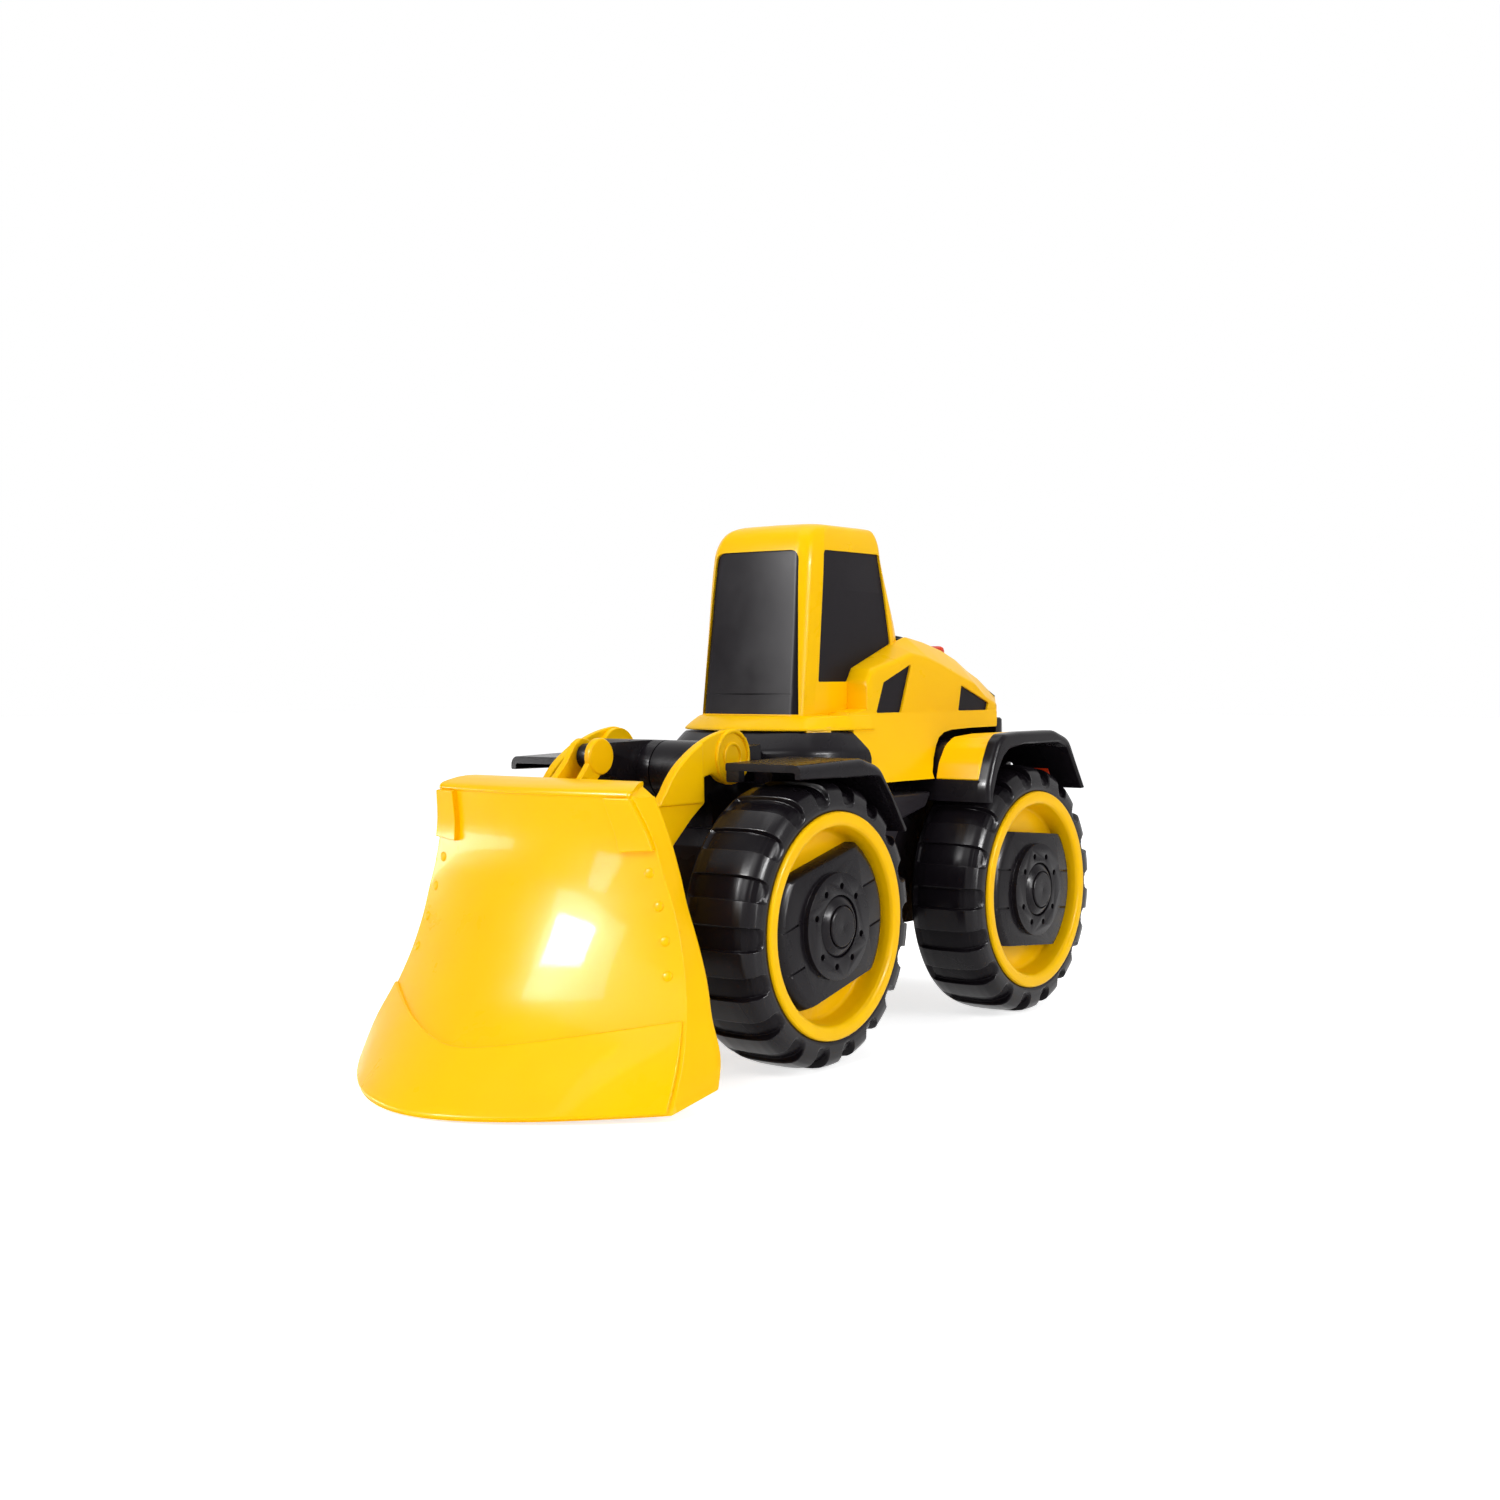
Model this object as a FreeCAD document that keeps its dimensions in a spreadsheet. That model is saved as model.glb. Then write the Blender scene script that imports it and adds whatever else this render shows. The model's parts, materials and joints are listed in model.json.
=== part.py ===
"""Toy bulldozer: a free-wheeling push toy with a lifting, tilting blade.

Millimetres, +Z up, blade towards -Y, the toy's left side on +X. Outlines are written with y measured
from the front axle and z from the ground. Every placement then moves them by `front_axle_y`, which
puts the origin under the middle of the toy.
"""
import FreeCAD, Part
import Sketcher
import math
import os
import re

Vector = FreeCAD.Vector
doc = FreeCAD.newDocument("toy_bulldozer")

# ---------------------------------------------------------------- driving dimensions
DIMENSIONS = {
    "front_axle_y": -37.85, "wheelbase": 150, "axle_height": 53,
    # wheels
    "tyre_radius": 53, "rim_radius": 42, "rim_opening": 36.5, "tyre_inner": 38, "tyre_outer": 70,
    "rim_face": 71, "dish_floor": 61, "dish_thickness": 2.5, "hub_tube_radius": 8, "hub_tube_end": 37,
    "hub_bar_width": 48, "hub_bar_radius": 34.3, "hub_bar_face": 69, "hub_bar_tilt": 14,
    "hub_disc_radius": 19.7, "hub_disc_face": 71.2, "hub_recess": 1.2, "hub_recess_radius": 11.5,
    "hub_cap_radius": 7.3, "hub_cap_face": 73, "bolt_circle": 14.7, "bolt_radius": 1.2,
    "lug_count": 18, "lug_groove": 2.4, "lug_depth": 3.5, "lug_length": 13,
    "axle_radius": 3, "axle_half_length": 64, "running_clearance": 0.05,
    "retainer_radius": 6, "retainer_thickness": 1.2, "retainer_gap": 0.3,
    # chassis
    "tub_half": 30, "tub_floor": 40, "tub_top": 96, "wall": 3, "boss_end": 36.5, "boss_radius": 7,
    "column_radius": 4.5, "screw_x": 20, "screw_radius": 1.5, "head_radius": 3.2, "head_seat": 86.5,
    "head_height": 2.5, "counterbore_radius": 3.6, "screw_tip": 103,
    "plate_top": 104, "turret_wall_top": 115, "turret_top": 122, "nose_half": 24.8,
    "nose_radius": 11.3, "nose_y": -21.7, "nose_z": 109.1, "slot_half": 8.6, "slot_gap": 0.6,
    # upper body
    "shell_wall": 2.2, "lip_edge_top": 123.6, "lip_top": 128.5, "deck_half": 23.4, "bar_half": 20,
    "bar_radius": 2.8,
    # fenders and steps
    "fender_inner": 37.3, "fender_outer": 71, "valance": 2.5, "tab_inner": 30,
    "stop_outer": 43, "arch_inner": 45.5, "arch_outer": 66, "band_outer": 71.5,
    "liner_inner": 33, "liner_flange": 35.5, "lamp_inner": 48.5, "lamp_outer": 57.5, "step_outer": 44,
    # arms, link and blade
    "pivot_y": -10.7, "pivot_z": 114.3, "pivot_pin_radius": 3, "pivot_pin_inner": 9.6,
    "pivot_pin_outer": 29.5, "lobe_radius": 10.5, "boss_inner": 25.4, "arm_inner": 27.6,
    "arm_outer": 31.3, "hinge_y": -68, "hinge_z": 66, "hinge_pin_radius": 2.5, "lug_inner": 18.8,
    "lug_outer": 37.5, "lug_gap": 1, "eye_y": -56, "eye_z": 115.3, "eye_radius": 4.6,
    "eye_half": 2.3, "eye_pin_radius": 2, "eye_clearance": 0.7, "fork_gap_half": 2.8,
    "fork_half": 5.6, "fork_radius": 6.5, "fork_step": 0.8, "knuckle_half": 8,
    "knuckle_pin_radius": 2.5,
}

sheet = doc.addObject("Spreadsheet::Sheet", "Sheet")
for row, (name, value) in enumerate(DIMENSIONS.items(), start=1):
    sheet.set(f"A{row}", name)
    sheet.set(f"B{row}", str(value))
    sheet.setAlias(f"B{row}", name)
doc.recompute()

LEFT, RIGHT = 1, -1
SIDES = {"left": LEFT, "right": RIGHT}
pieces = {}      # label of each exported sub-part -> its object


def dim(name):
    """A driving dimension's number."""
    return float(sheet.get(name))


def formula(text):
    """Turn 'tub_half + 2' into an expression that reads the spreadsheet."""
    return re.sub(r"([a-z][a-z_]+)", r"Sheet.\1", str(text))


# ---------------------------------------------------------------- modelling helpers
def new_body(label, y="front_axle_y", z="0"):
    """A PartDesign body whose own zero lies at (y, z)."""
    body = doc.addObject("PartDesign::Body", label)
    body.Label = label
    body.setExpression(".Placement.Base.y", formula(y))
    body.setExpression(".Placement.Base.z", formula(z))
    return body


def sketch_on(body, role, offset="0"):
    """A sketch on one of the body's origin planes, moved along the plane's normal."""
    sketch = body.newObject("Sketcher::SketchObject", "sketch")
    plane = next(f for f in body.Origin.OriginFeatures if f.Role == role)
    sketch.AttachmentSupport = (plane, "")
    sketch.MapMode = "FlatFace"
    sketch.setExpression(".AttachmentOffset.Base.z", formula(offset))
    return sketch


def draw(sketch, points):
    """Closed outline of straight edges; an ("arc", middle, end) entry makes a round stretch."""
    start = points[0]
    for entry in points[1:] + [points[0]]:
        if entry[0] == "arc":
            middle, end = entry[1], entry[2]
            sketch.addGeometry(Part.Arc(Vector(*start, 0), Vector(*middle, 0), Vector(*end, 0)), False)
        else:
            end = entry
            if math.dist(start, end) > 1e-6:
                sketch.addGeometry(Part.LineSegment(Vector(*start, 0), Vector(*end, 0)), False)
        start = end


def draw_circle(sketch, centre, radius):
    """A circle whose radius follows a formula over the spreadsheet."""
    index = sketch.addGeometry(Part.Circle(Vector(*centre, 0), Vector(0, 0, 1), 1), False)
    number = sketch.addConstraint(Sketcher.Constraint("Radius", index, 1))
    sketch.setExpression(f"Constraints[{number}]", formula(radius))


def add(body, role, drawing, start, stop):
    """Pad a drawing from start to stop along the plane's normal."""
    sketch = sketch_on(body, role, start)
    drawing(sketch)
    pad = body.newObject("PartDesign::Pad", "pad")
    pad.Profile = sketch
    pad.setExpression("Length", formula(f"({stop}) - ({start})"))
    return pad


def cut(body, role, drawing, start, stop):
    """Pocket a drawing between start and stop along the plane's normal."""
    sketch = sketch_on(body, role, stop)
    drawing(sketch)
    pocket = body.newObject("PartDesign::Pocket", "pocket")
    pocket.Profile = sketch
    pocket.setExpression("Length", formula(f"({stop}) - ({start})"))
    return pocket


def polygon(points):
    return lambda sketch: draw(sketch, points)


def circles(centres, radius):
    def drawing(sketch):
        for centre in centres:
            draw_circle(sketch, centre, radius)
    return drawing


def mirrored(half):
    """Closed outline from a right-hand half that starts and ends on the middle line."""
    inner = [p for p in half if abs(p[0]) > 1e-6]
    return half + [(-x, v) for x, v in reversed(inner)]


def rectangle(u0, u1, v0, v1):
    return [(u0, v0), (u1, v0), (u1, v1), (u0, v1)]


def side_span(side, inner, outer):
    """The X span of a piece that lies between inner and outer on one side of the toy."""
    if side == LEFT:
        return inner, outer
    return f"-({outer})", f"-({inner})"


def y_span(front, rear):
    """A span along Y as offsets along the XZ plane's normal, which points to -Y."""
    return f"-({rear})", f"-({front})"


def loft(body, kind, role, sections, ruled=True):
    """Loft through (offset, outline) sections; kind is AdditiveLoft or SubtractiveLoft."""
    sketches = []
    for offset, points in sections:
        sketch = sketch_on(body, role, offset)
        draw(sketch, points)
        sketches.append(sketch)
    feature = body.newObject(f"PartDesign::{kind}", kind.lower())
    feature.Profile = sketches[0]
    feature.Sections = sketches[1:]
    feature.Ruled = ruled
    return feature


def boolean(kind, label, base, tools):
    """Cut, Common or Fuse of finished objects, as a document object of its own."""
    tool = tools[0]
    if len(tools) > 1:
        tool = doc.addObject("Part::MultiFuse", f"{label}_tools")
        tool.Shapes = tools
    result = doc.addObject(f"Part::{kind}", label)
    result.Base, result.Tool = base, tool
    result.Label = label
    return result


def side_prism(label, points, side, inner, outer):
    """A piece drawn in side view (y, z) and as wide as its X span."""
    body = new_body(label)
    add(body, "YZ_Plane", polygon(points), *side_span(side, inner, outer))
    return body


# ---------------------------------------------------------------- wheels
def wheel_body(label, axle_y, side):
    """A body whose zero is a wheel's centre line; the right wheels are turned half round."""
    body = new_body(label, y=axle_y, z="axle_height")
    if side == RIGHT:
        body.Placement.Rotation = FreeCAD.Rotation(Vector(0, 0, 1), 180)
    return body


def revolve_about_x(body, points):
    sketch = sketch_on(body, "XY_Plane")
    draw(sketch, points)
    turn = body.newObject("PartDesign::Revolution", "revolution")
    turn.Profile = sketch
    turn.ReferenceAxis = (sketch, ["H_Axis"])
    turn.Angle = 360
    return turn


def tyre(label, axle_y, side):
    """Soft ring with grooves across both shoulders that leave square lugs."""
    body = wheel_body(label, axle_y, side)
    inner, outer, seat, top = dim("tyre_inner"), dim("tyre_outer"), dim("rim_radius"), dim("tyre_radius")
    revolve_about_x(body, [
        (inner, seat), (inner, seat + 5.5), (inner + 3, top - 1.5), (inner + 6, top), (outer - 6, top),
        (outer - 2.5, top - 1.5), (outer, top - 5.5), (outer, seat)])
    half, depth = dim("lug_groove") / 2, dim("lug_depth")
    groove = rectangle(-half, half, top - depth, top + 1)
    outer_cut = cut(body, "YZ_Plane", polygon(groove), "tyre_outer - lug_length", "tyre_outer + 1")
    inner_cut = cut(body, "YZ_Plane", polygon(groove), "tyre_inner - 1", "tyre_inner + lug_length")
    pattern = body.newObject("PartDesign::PolarPattern", "pattern")
    pattern.Originals = [outer_cut, inner_cut]
    pattern.Axis = (next(f for f in body.Origin.OriginFeatures if f.Role == "X_Axis"), [""])
    pattern.Angle = 360
    pattern.setExpression("Occurrences", formula("lug_count"))
    body.Tip = pattern
    pieces[label] = body


def rim(label, axle_y, side):
    """Open ring, dished disc and hub tube in one moulding, bored to run on the axle."""
    body = wheel_body(label, axle_y, side)
    ring, opening, face = dim("rim_radius"), dim("rim_opening"), dim("rim_face")
    floor, back = dim("dish_floor"), dim("dish_floor") - dim("dish_thickness")
    bore, tube = dim("axle_radius") + dim("running_clearance"), dim("hub_tube_radius")
    edge, inner = 0.8, dim("tyre_inner")
    revolve_about_x(body, [
        (inner, ring), (face - edge, ring), (face, ring - edge), (face, opening + edge),
        (face - edge, opening), (floor, opening - 1.7), (floor, bore), (dim("hub_tube_end"), bore),
        (dim("hub_tube_end"), tube), (back, tube), (back, ring - 4), (inner, ring - 2.5)])
    pieces[label] = body


def hub_bar(label, axle_y, side, tilted):
    """Broad bar across the dish with a round hub plate, its ring of holes and end grooves."""
    body = wheel_body(label, axle_y, side)
    if tilted:
        body.Placement.Rotation = FreeCAD.Rotation(Vector(1, 0, 0), dim("hub_bar_tilt"))
    half, reach = dim("hub_bar_width") / 2, dim("hub_bar_radius")
    end = math.sqrt(reach**2 - half**2)
    outline = [(-end, -half), (end, -half), ("arc", (reach, 0), (end, half)), (-end, half),
               ("arc", (-reach, 0), (-end, -half))]
    add(body, "YZ_Plane", polygon(outline), "dish_floor", "hub_bar_face")
    add(body, "YZ_Plane", circles([(0, 0)], "hub_disc_radius"), "hub_bar_face", "hub_disc_face")
    cut(body, "YZ_Plane", circles([(0, 0)], "hub_recess_radius"), "hub_disc_face - hub_recess",
        "hub_disc_face + 1")
    cut(body, "YZ_Plane", circles([(0, 0)], "hub_cap_radius"), "dish_floor - 1", "hub_disc_face + 1")
    ring = dim("bolt_circle")
    angles = [math.radians(side_angle + sign * step) for side_angle in (90, 270)
              for sign in (-1, 1) for step in (20, 60)]
    holes = [(ring * math.cos(a), ring * math.sin(a)) for a in angles]
    cut(body, "YZ_Plane", circles(holes, "bolt_radius"), "hub_disc_face - 2", "hub_disc_face + 1")
    for v in (-8, 8):
        for u in (-29, 29):
            groove = rectangle(u - 8, u + 8, v - 0.4, v + 0.4)
            cut(body, "YZ_Plane", polygon(groove), "hub_bar_face - 0.8", "hub_bar_face + 1")
    pieces[label] = body


def hub_cap(label, axle_y, side):
    """Round plug pressed into the hub plate over the end of the axle."""
    body = wheel_body(label, axle_y, side)
    add(body, "YZ_Plane", circles([(0, 0)], "hub_cap_radius"), "axle_half_length + 1", "hub_cap_face")
    pieces[label] = body


def axle(label, axle_y):
    """Plain steel rod across the toy."""
    rod = doc.addObject("Part::Cylinder", label)
    rod.Label = label
    rod.setExpression("Radius", formula("axle_radius"))
    rod.setExpression("Height", formula("2 * axle_half_length"))
    rod.Placement.Rotation = FreeCAD.Rotation(Vector(0, 1, 0), 90)
    rod.setExpression(".Placement.Base.x", formula("-axle_half_length"))
    rod.setExpression(".Placement.Base.y", formula(axle_y))
    rod.setExpression(".Placement.Base.z", formula("axle_height"))
    pieces[label] = rod


def axle_retainers(axles):
    """Four spring washers, one pressed on each axle end just outside the rim."""
    rings = []
    for axle_y in axles.values():
        for side in SIDES.values():
            body = wheel_body("retainer", axle_y, side)
            start = "dish_floor + retainer_gap"
            stop = "dish_floor + retainer_gap + retainer_thickness"
            add(body, "YZ_Plane", circles([(0, 0)], "retainer_radius"), start, stop)
            cut(body, "YZ_Plane", circles([(0, 0)], "axle_radius"), start, stop)
            rings.append(body)
    group = doc.addObject("Part::Compound", "axle_retainers")
    group.Links = rings
    pieces["axle_retainers"] = group


AXLES = {"front": "front_axle_y", "rear": "front_axle_y + wheelbase"}


def wheels():
    for end, axle_y in AXLES.items():
        axle(f"{end}_axle_shaft", axle_y)
        for side_name, side in SIDES.items():
            wheel = f"{end}_{side_name}"
            tyre(f"{wheel}_tyre", axle_y, side)
            rim(f"{wheel}_rim", axle_y, side)
            hub_bar(f"{wheel}_hub_bar", axle_y, side, tilted=(wheel == "front_left"))
            hub_cap(f"{wheel}_hub_cap", axle_y, side)
    axle_retainers(AXLES)


# ---------------------------------------------------------------- chassis
SCREW_ROWS = (22, 80, 172)      # y of the three pairs of screws
REAR_END = 190                  # y of the tub's rear wall


def screw_points():
    return [(x, y) for y in SCREW_ROWS for x in (-dim("screw_x"), dim("screw_x"))]


def lower_chassis():
    """Open-topped tub with two axle tunnels and six screw columns."""
    body = new_body("lower_chassis")
    floor, top = dim("tub_floor"), dim("tub_top")
    profile = [(-28, floor + 8), (-22, floor), (REAR_END - 6, floor), (REAR_END, floor + 6),
               (REAR_END, top), (4, top), (4, top - 8), (-24, top - 8), (-28, top - 14)]
    add(body, "YZ_Plane", polygon(profile), "-tub_half", "tub_half")
    wall = dim("wall")
    inside = [(-25, floor + 9), (-21, floor + wall), (REAR_END - 7, floor + wall),
              (REAR_END - wall, floor + 7), (REAR_END - wall, top + 1), (7, top + 1), (7, top - 11),
              (-22, top - 11), (-25, top - 15)]
    cut(body, "YZ_Plane", polygon(inside), "-(tub_half - wall)", "tub_half - wall")
    axles = [(0, dim("axle_height")), (dim("wheelbase"), dim("axle_height"))]
    add(body, "YZ_Plane", circles(axles, "boss_radius"), "-boss_end", "boss_end")
    cut(body, "YZ_Plane", circles(axles, "axle_radius"), "-boss_end - 1", "boss_end + 1")
    add(body, "XY_Plane", circles(screw_points(), "column_radius"), "tub_floor", "tub_top")
    cut(body, "XY_Plane", circles(screw_points(), "counterbore_radius"), "tub_floor - 1", "head_seat")
    cut(body, "XY_Plane", circles(screw_points(), "screw_radius"), "head_seat", "tub_top + 1")
    pieces["lower_chassis"] = body


def chassis_screws():
    """Six self-tapping screws, heads down in the tub's columns."""
    body_list = []
    for centre in screw_points():
        body = new_body("screw")
        add(body, "XY_Plane", circles([centre], "head_radius"), "head_seat - head_height", "head_seat")
        add(body, "XY_Plane", circles([centre], "screw_radius"), "head_seat", "screw_tip")
        body_list.append(body)
    group = doc.addObject("Part::Compound", "chassis_screws")
    group.Links = body_list
    pieces["chassis_screws"] = group


def upper_chassis():
    """Black moulding under the cab: base plate, turret, and the round nose that carries the arms."""
    body = new_body("upper_chassis")
    plate = mirrored([(0, 4), (20, 4), (20, 2), (36.5, 2), (36.5, 36), (33, 44), (33, 190), (27, 197),
                      (0, 197)])
    add(body, "XY_Plane", polygon(plate), "tub_top", "plate_top")
    wall = mirrored([(0, 17), (17, 21), (34, 30), (43.3, 56), (43.3, 63), (32, 66), (32, 100), (0, 100)])
    add(body, "XY_Plane", polygon(wall), "plate_top", "turret_wall_top")
    crown = mirrored([(0, 24.5), (14, 28), (30, 35.5), (37, 58), (36, 61), (32, 64), (32, 100),
                      (0, 100)])
    crown_base = mirrored([(0, 17), (14, 20.2), (32, 29), (43.3, 56), (43.3, 63), (32, 66), (32, 100),
                           (0, 100)])
    loft(body, "AdditiveLoft", "XY_Plane", [("turret_wall_top", crown_base), ("turret_top", crown)])
    beside_shell = [(58, 123), (58.3, 121.9), (66.4, 104), (80, 104), (80, 123)]
    for side in SIDES.values():
        cut(body, "YZ_Plane", polygon(beside_shell), *side_span(side, "34.6", "45"))
    ny, nz, radius = dim("nose_y"), dim("nose_z"), dim("nose_radius")
    low, step = dim("tub_top") - 8, dim("tub_top")
    nose = [(ny, nz - radius), ("arc", (ny - radius, nz), (ny, nz + radius)), (-9, 119.3), (-1, 117.8),
            (6, 117.3), (22, 118.8), (22, step), (4, step), (4, low), (-16, low), (-16, nz - radius)]
    add(body, "YZ_Plane", polygon(nose), "-nose_half", "nose_half")
    slot = circles([(ny, nz)], "nose_radius + slot_gap")
    cut(body, "YZ_Plane", slot, "-slot_half", "slot_half")
    cut(body, "YZ_Plane", circles([(ny, nz)], "knuckle_pin_radius"), "-nose_half - 1", "nose_half + 1")
    bore = circles([pivot()], "pivot_pin_radius + running_clearance")
    for side in SIDES.values():
        cut(body, "YZ_Plane", bore, *side_span(side, "slot_half", "nose_half + 1"))
    cut(body, "XY_Plane", circles(screw_points(), "screw_radius"), "tub_top - 1", "screw_tip")
    pieces["upper_chassis"] = body


def rear_bumper():
    """Heavy block that closes the tail below the grille."""
    profile = [(REAR_END, 62), (REAR_END + 20, 62), (REAR_END + 28, 70), (REAR_END + 28, 90),
               (REAR_END + 24, 96), (REAR_END, 96)]
    pieces["rear_bumper"] = side_prism("rear_bumper", profile, LEFT, "-tub_half", "tub_half")


def side_step(side_name, side):
    """Grey bracket between the wheels."""
    profile = [(50, 96), (53, 92), (61, 75), (79, 76.5), (85.5, 86), (103, 90), (107, 96)]
    label = f"side_step_{side_name}"
    pieces[label] = side_prism(label, profile, side, "tub_half", "step_outer")


# ---------------------------------------------------------------- upper body
# Cross-sections behind the cab: y, height of the ridge, height and half width of the side's top edge.
RIDGE_X = 24
SIDE_SECTIONS = [
    (72, 142, 141.8, 35), (76, 147.6, 147, 35), (107, 157.8, 153.8, 35), (118, 161, 152.2, 35),
    (131.5, 159, 148.6, 35), (147, 155.6, 143.7, 35), (158, 151.9, 140.6, 35),
    (168, 147.2, 134.5, 35), (177, 143.8, 131.4, 34.8), (194, 136, 130.2, 24.4)]
CREASE_Z, SKIRT_Z, FLARE = 129, 101.5, 10.5


def body_section(ridge_z, side_z, side_x, inset, bottom):
    """Half outline of the yellow body across the toy, closed to a whole one."""
    flare = FLARE * (CREASE_Z - bottom) / (CREASE_Z - SKIRT_Z)
    ridge_z, side_x = ridge_z - inset, side_x - inset
    side_z = max(side_z - 0.6 * inset, CREASE_Z + 0.3)
    half = [(0, bottom), (side_x + flare, bottom), (side_x, CREASE_Z), (side_x, side_z),
            (RIDGE_X - inset, ridge_z), (0, ridge_z)]
    return mirrored(half)


def body_envelope():
    """Body shell before the cab is let into it, hollow from below."""
    body = new_body("body_blank")
    lip = mirrored([(0, 24), (14, 27.5), (30, 35), (35, 47), (38, 58.5), (38, 73), (0, 73)])
    add(body, "XY_Plane", polygon(lip), "turret_top", "lip_edge_top")
    lip_crest = mirrored([(0, 32.5), (13, 34), (26, 41), (31, 50), (35, 58.5), (35, 73), (0, 73)])
    loft(body, "AdditiveLoft", "XY_Plane", [("lip_edge_top", lip), ("lip_top", lip_crest)])
    low = body_section(dim("lip_top") + 1, dim("lip_top") + 1, 35, 0, SKIRT_Z)
    loft(body, "AdditiveLoft", "XZ_Plane", [(-58.5, low), (-73, low)])
    outer = [(-y, body_section(ridge, side, x, 0, SKIRT_Z)) for y, ridge, side, x in SIDE_SECTIONS]
    loft(body, "AdditiveLoft", "XZ_Plane", outer)
    wall = dim("shell_wall")
    first, last = SIDE_SECTIONS[0][0] + wall, SIDE_SECTIONS[-1][0] - wall
    inner = []
    for y, ridge, side, x in SIDE_SECTIONS:
        y = min(max(y, first), last)
        inner.append((-y, body_section(ridge, side, x, wall, SKIRT_Z - 1)))
    loft(body, "SubtractiveLoft", "XZ_Plane", inner)
    under_lip = mirrored([(0, 26.5), (13, 29.6), (28, 36.6), (35, 58.5), (35.5, 80), (0, 80)])
    cut(body, "XY_Plane", polygon(under_lip), "turret_top - 30", "turret_top + 3")
    arch = [(106.6, 90), (106.8, 104), (111.2, 109.8), (116.4, 115), (120.6, 118.2), (126, 120.2),
            (133, 121.2), (150, 121.7), (172, 121.8), (177.4, 129.4), (200, 129.4), (200, 90)]
    cut(body, "YZ_Plane", polygon(arch), "-60", "60")
    front = [(40, 121.9), (58.5, 121.9), (67.5, 102), (67.5, 90), (40, 90)]
    cut(body, "YZ_Plane", polygon(front), "-60", "60")
    opening = mirrored([(0, 112), (23.4, 112), (23.4, 200), (0, 200)])
    cut(body, "XY_Plane", polygon(opening), "115", "170")
    return body


# Cab outline at each height: half outlines (x, y) from the middle of the windshield to the rear.
CAB_SECTIONS = [
    (128.5, [(0, 36.6), (22.5, 37.6), (25.2, 40.6), (25.8, 48), (24.5, 108), (21.5, 115.5), (0, 116)]),
    (160, [(0, 40), (21.6, 41), (24.9, 44), (25.8, 51.5), (23.8, 109), (21.3, 115.3), (0, 116)]),
    (195, [(0, 43.8), (20.2, 44.6), (24.2, 47.4), (25.6, 55), (22.4, 101), (19.2, 103), (0, 103.4)]),
    (201, [(0, 46), (19, 47), (22.6, 50), (24, 57), (21.5, 100.3), (18.5, 102.4), (0, 102.7)]),
    (205.8, [(0, 57), (14, 58), (17, 60), (18.5, 64), (18, 98), (16, 100), (0, 100.4)]),
]


def inset_outline(half, wall):
    """Move a cab half outline inwards by about the wall."""
    centre = 76
    inner = []
    for x, y in half:
        inner.append((max(x - wall, 0) if x else 0, y + wall if y < centre else y - wall))
    return mirrored(inner)


def cab_envelope(label):
    body = new_body(label)
    loft(body, "AdditiveLoft", "XY_Plane", [(z, mirrored(half)) for z, half in CAB_SECTIONS])
    return body


def cab_wall(label):
    """Cab as a plain shell, open at the bottom."""
    body = cab_envelope(label)
    wall = dim("shell_wall")
    inner = [(z - wall if z > 200 else z, inset_outline(half, wall)) for z, half in CAB_SECTIONS[:4]]
    inner[0] = (CAB_SECTIONS[0][0] - 1, inner[0][1])
    inner[-1] = (CAB_SECTIONS[-1][0] - 2 * wall, inner[-1][1])
    loft(body, "SubtractiveLoft", "XY_Plane", inner)
    return body


SIDE_WINDOW = [(55.3, 194.7), (99.6, 195), (106.5, 157.8), (76.3, 147.4), (72.4, 141.9), (51, 141.9)]
WINDSHIELD = [(-24.2, 129), (24.2, 129), (20.6, 193), (19, 194.4), (-19, 194.4), (-20.6, 193)]
REAR_WINDOW = [(-17, 167), (17, 167), (15, 190), (-15, 190)]


def window_prism(name, role, points, start, stop):
    body = new_body(f"{name}_prism")
    add(body, role, polygon(points), start, stop)
    return body


def cab():
    """Cab shell with panels let into its front, sides and rear."""
    openings = {
        "windshield": ("XZ_Plane", WINDSHIELD, *y_span("30", "47")),
        "rear_window": ("XZ_Plane", REAR_WINDOW, *y_span("95", "120")),
        "side_window_left": ("YZ_Plane", SIDE_WINDOW, *side_span(LEFT, "20.5", "30")),
        "side_window_right": ("YZ_Plane", SIDE_WINDOW, *side_span(RIGHT, "20.5", "30")),
    }
    prisms = {name: window_prism(name, *spec) for name, spec in openings.items()}
    pieces["cab_shell"] = boolean("Cut", "cab_shell", cab_wall("cab_wall"), list(prisms.values()))
    for name, prism in prisms.items():
        wall = cab_wall(f"{name}_wall")
        pieces[name] = boolean("Common", name, wall, [prism])


FRONT_VENT = [(79.2, 129.8), (96.8, 129.8), (104.6, 148.3), (84.5, 141)]
REAR_VENT = [(144.2, 129.8), (167.3, 129.8), (168.9, 132.6), (146.8, 139.5)]


def upper_body():
    """Yellow body shell with its black vents, and the cab seat cut out of it."""
    prisms = {}
    for side_name, side in SIDES.items():
        for place, points in (("front", FRONT_VENT), ("rear", REAR_VENT)):
            span = side_span(side, "27", "40")
            name = f"{place}_vent_{side_name}"
            prisms[name] = window_prism(name, "YZ_Plane", points, *span)
    seat = cab_envelope("cab_seat")
    blank = body_envelope()
    pieces["body_shell"] = boolean("Cut", "body_shell", blank, list(prisms.values()) + [seat])
    for name, prism in prisms.items():
        pieces[name] = boolean("Common", name, blank, [prism])


DECK_SECTIONS = [(116.5, 160.5, 163.5), (131.5, 158.6, 162.4), (147, 155.2, 159.5),
                 (168, 146.8, 152), (195, 135.2, 140)]


def engine_deck_blank():
    body = new_body("engine_deck_blank")
    half, thickness = dim("deck_half"), 4
    sections = []
    for y, edge, crown in DECK_SECTIONS:
        outline = mirrored([(0, edge - thickness), (half, edge - thickness), (half, edge),
                            (half * 0.55, crown - 1), (0, crown)])
        sections.append((-y, outline))
    loft(body, "AdditiveLoft", "XZ_Plane", sections)
    return body


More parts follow.
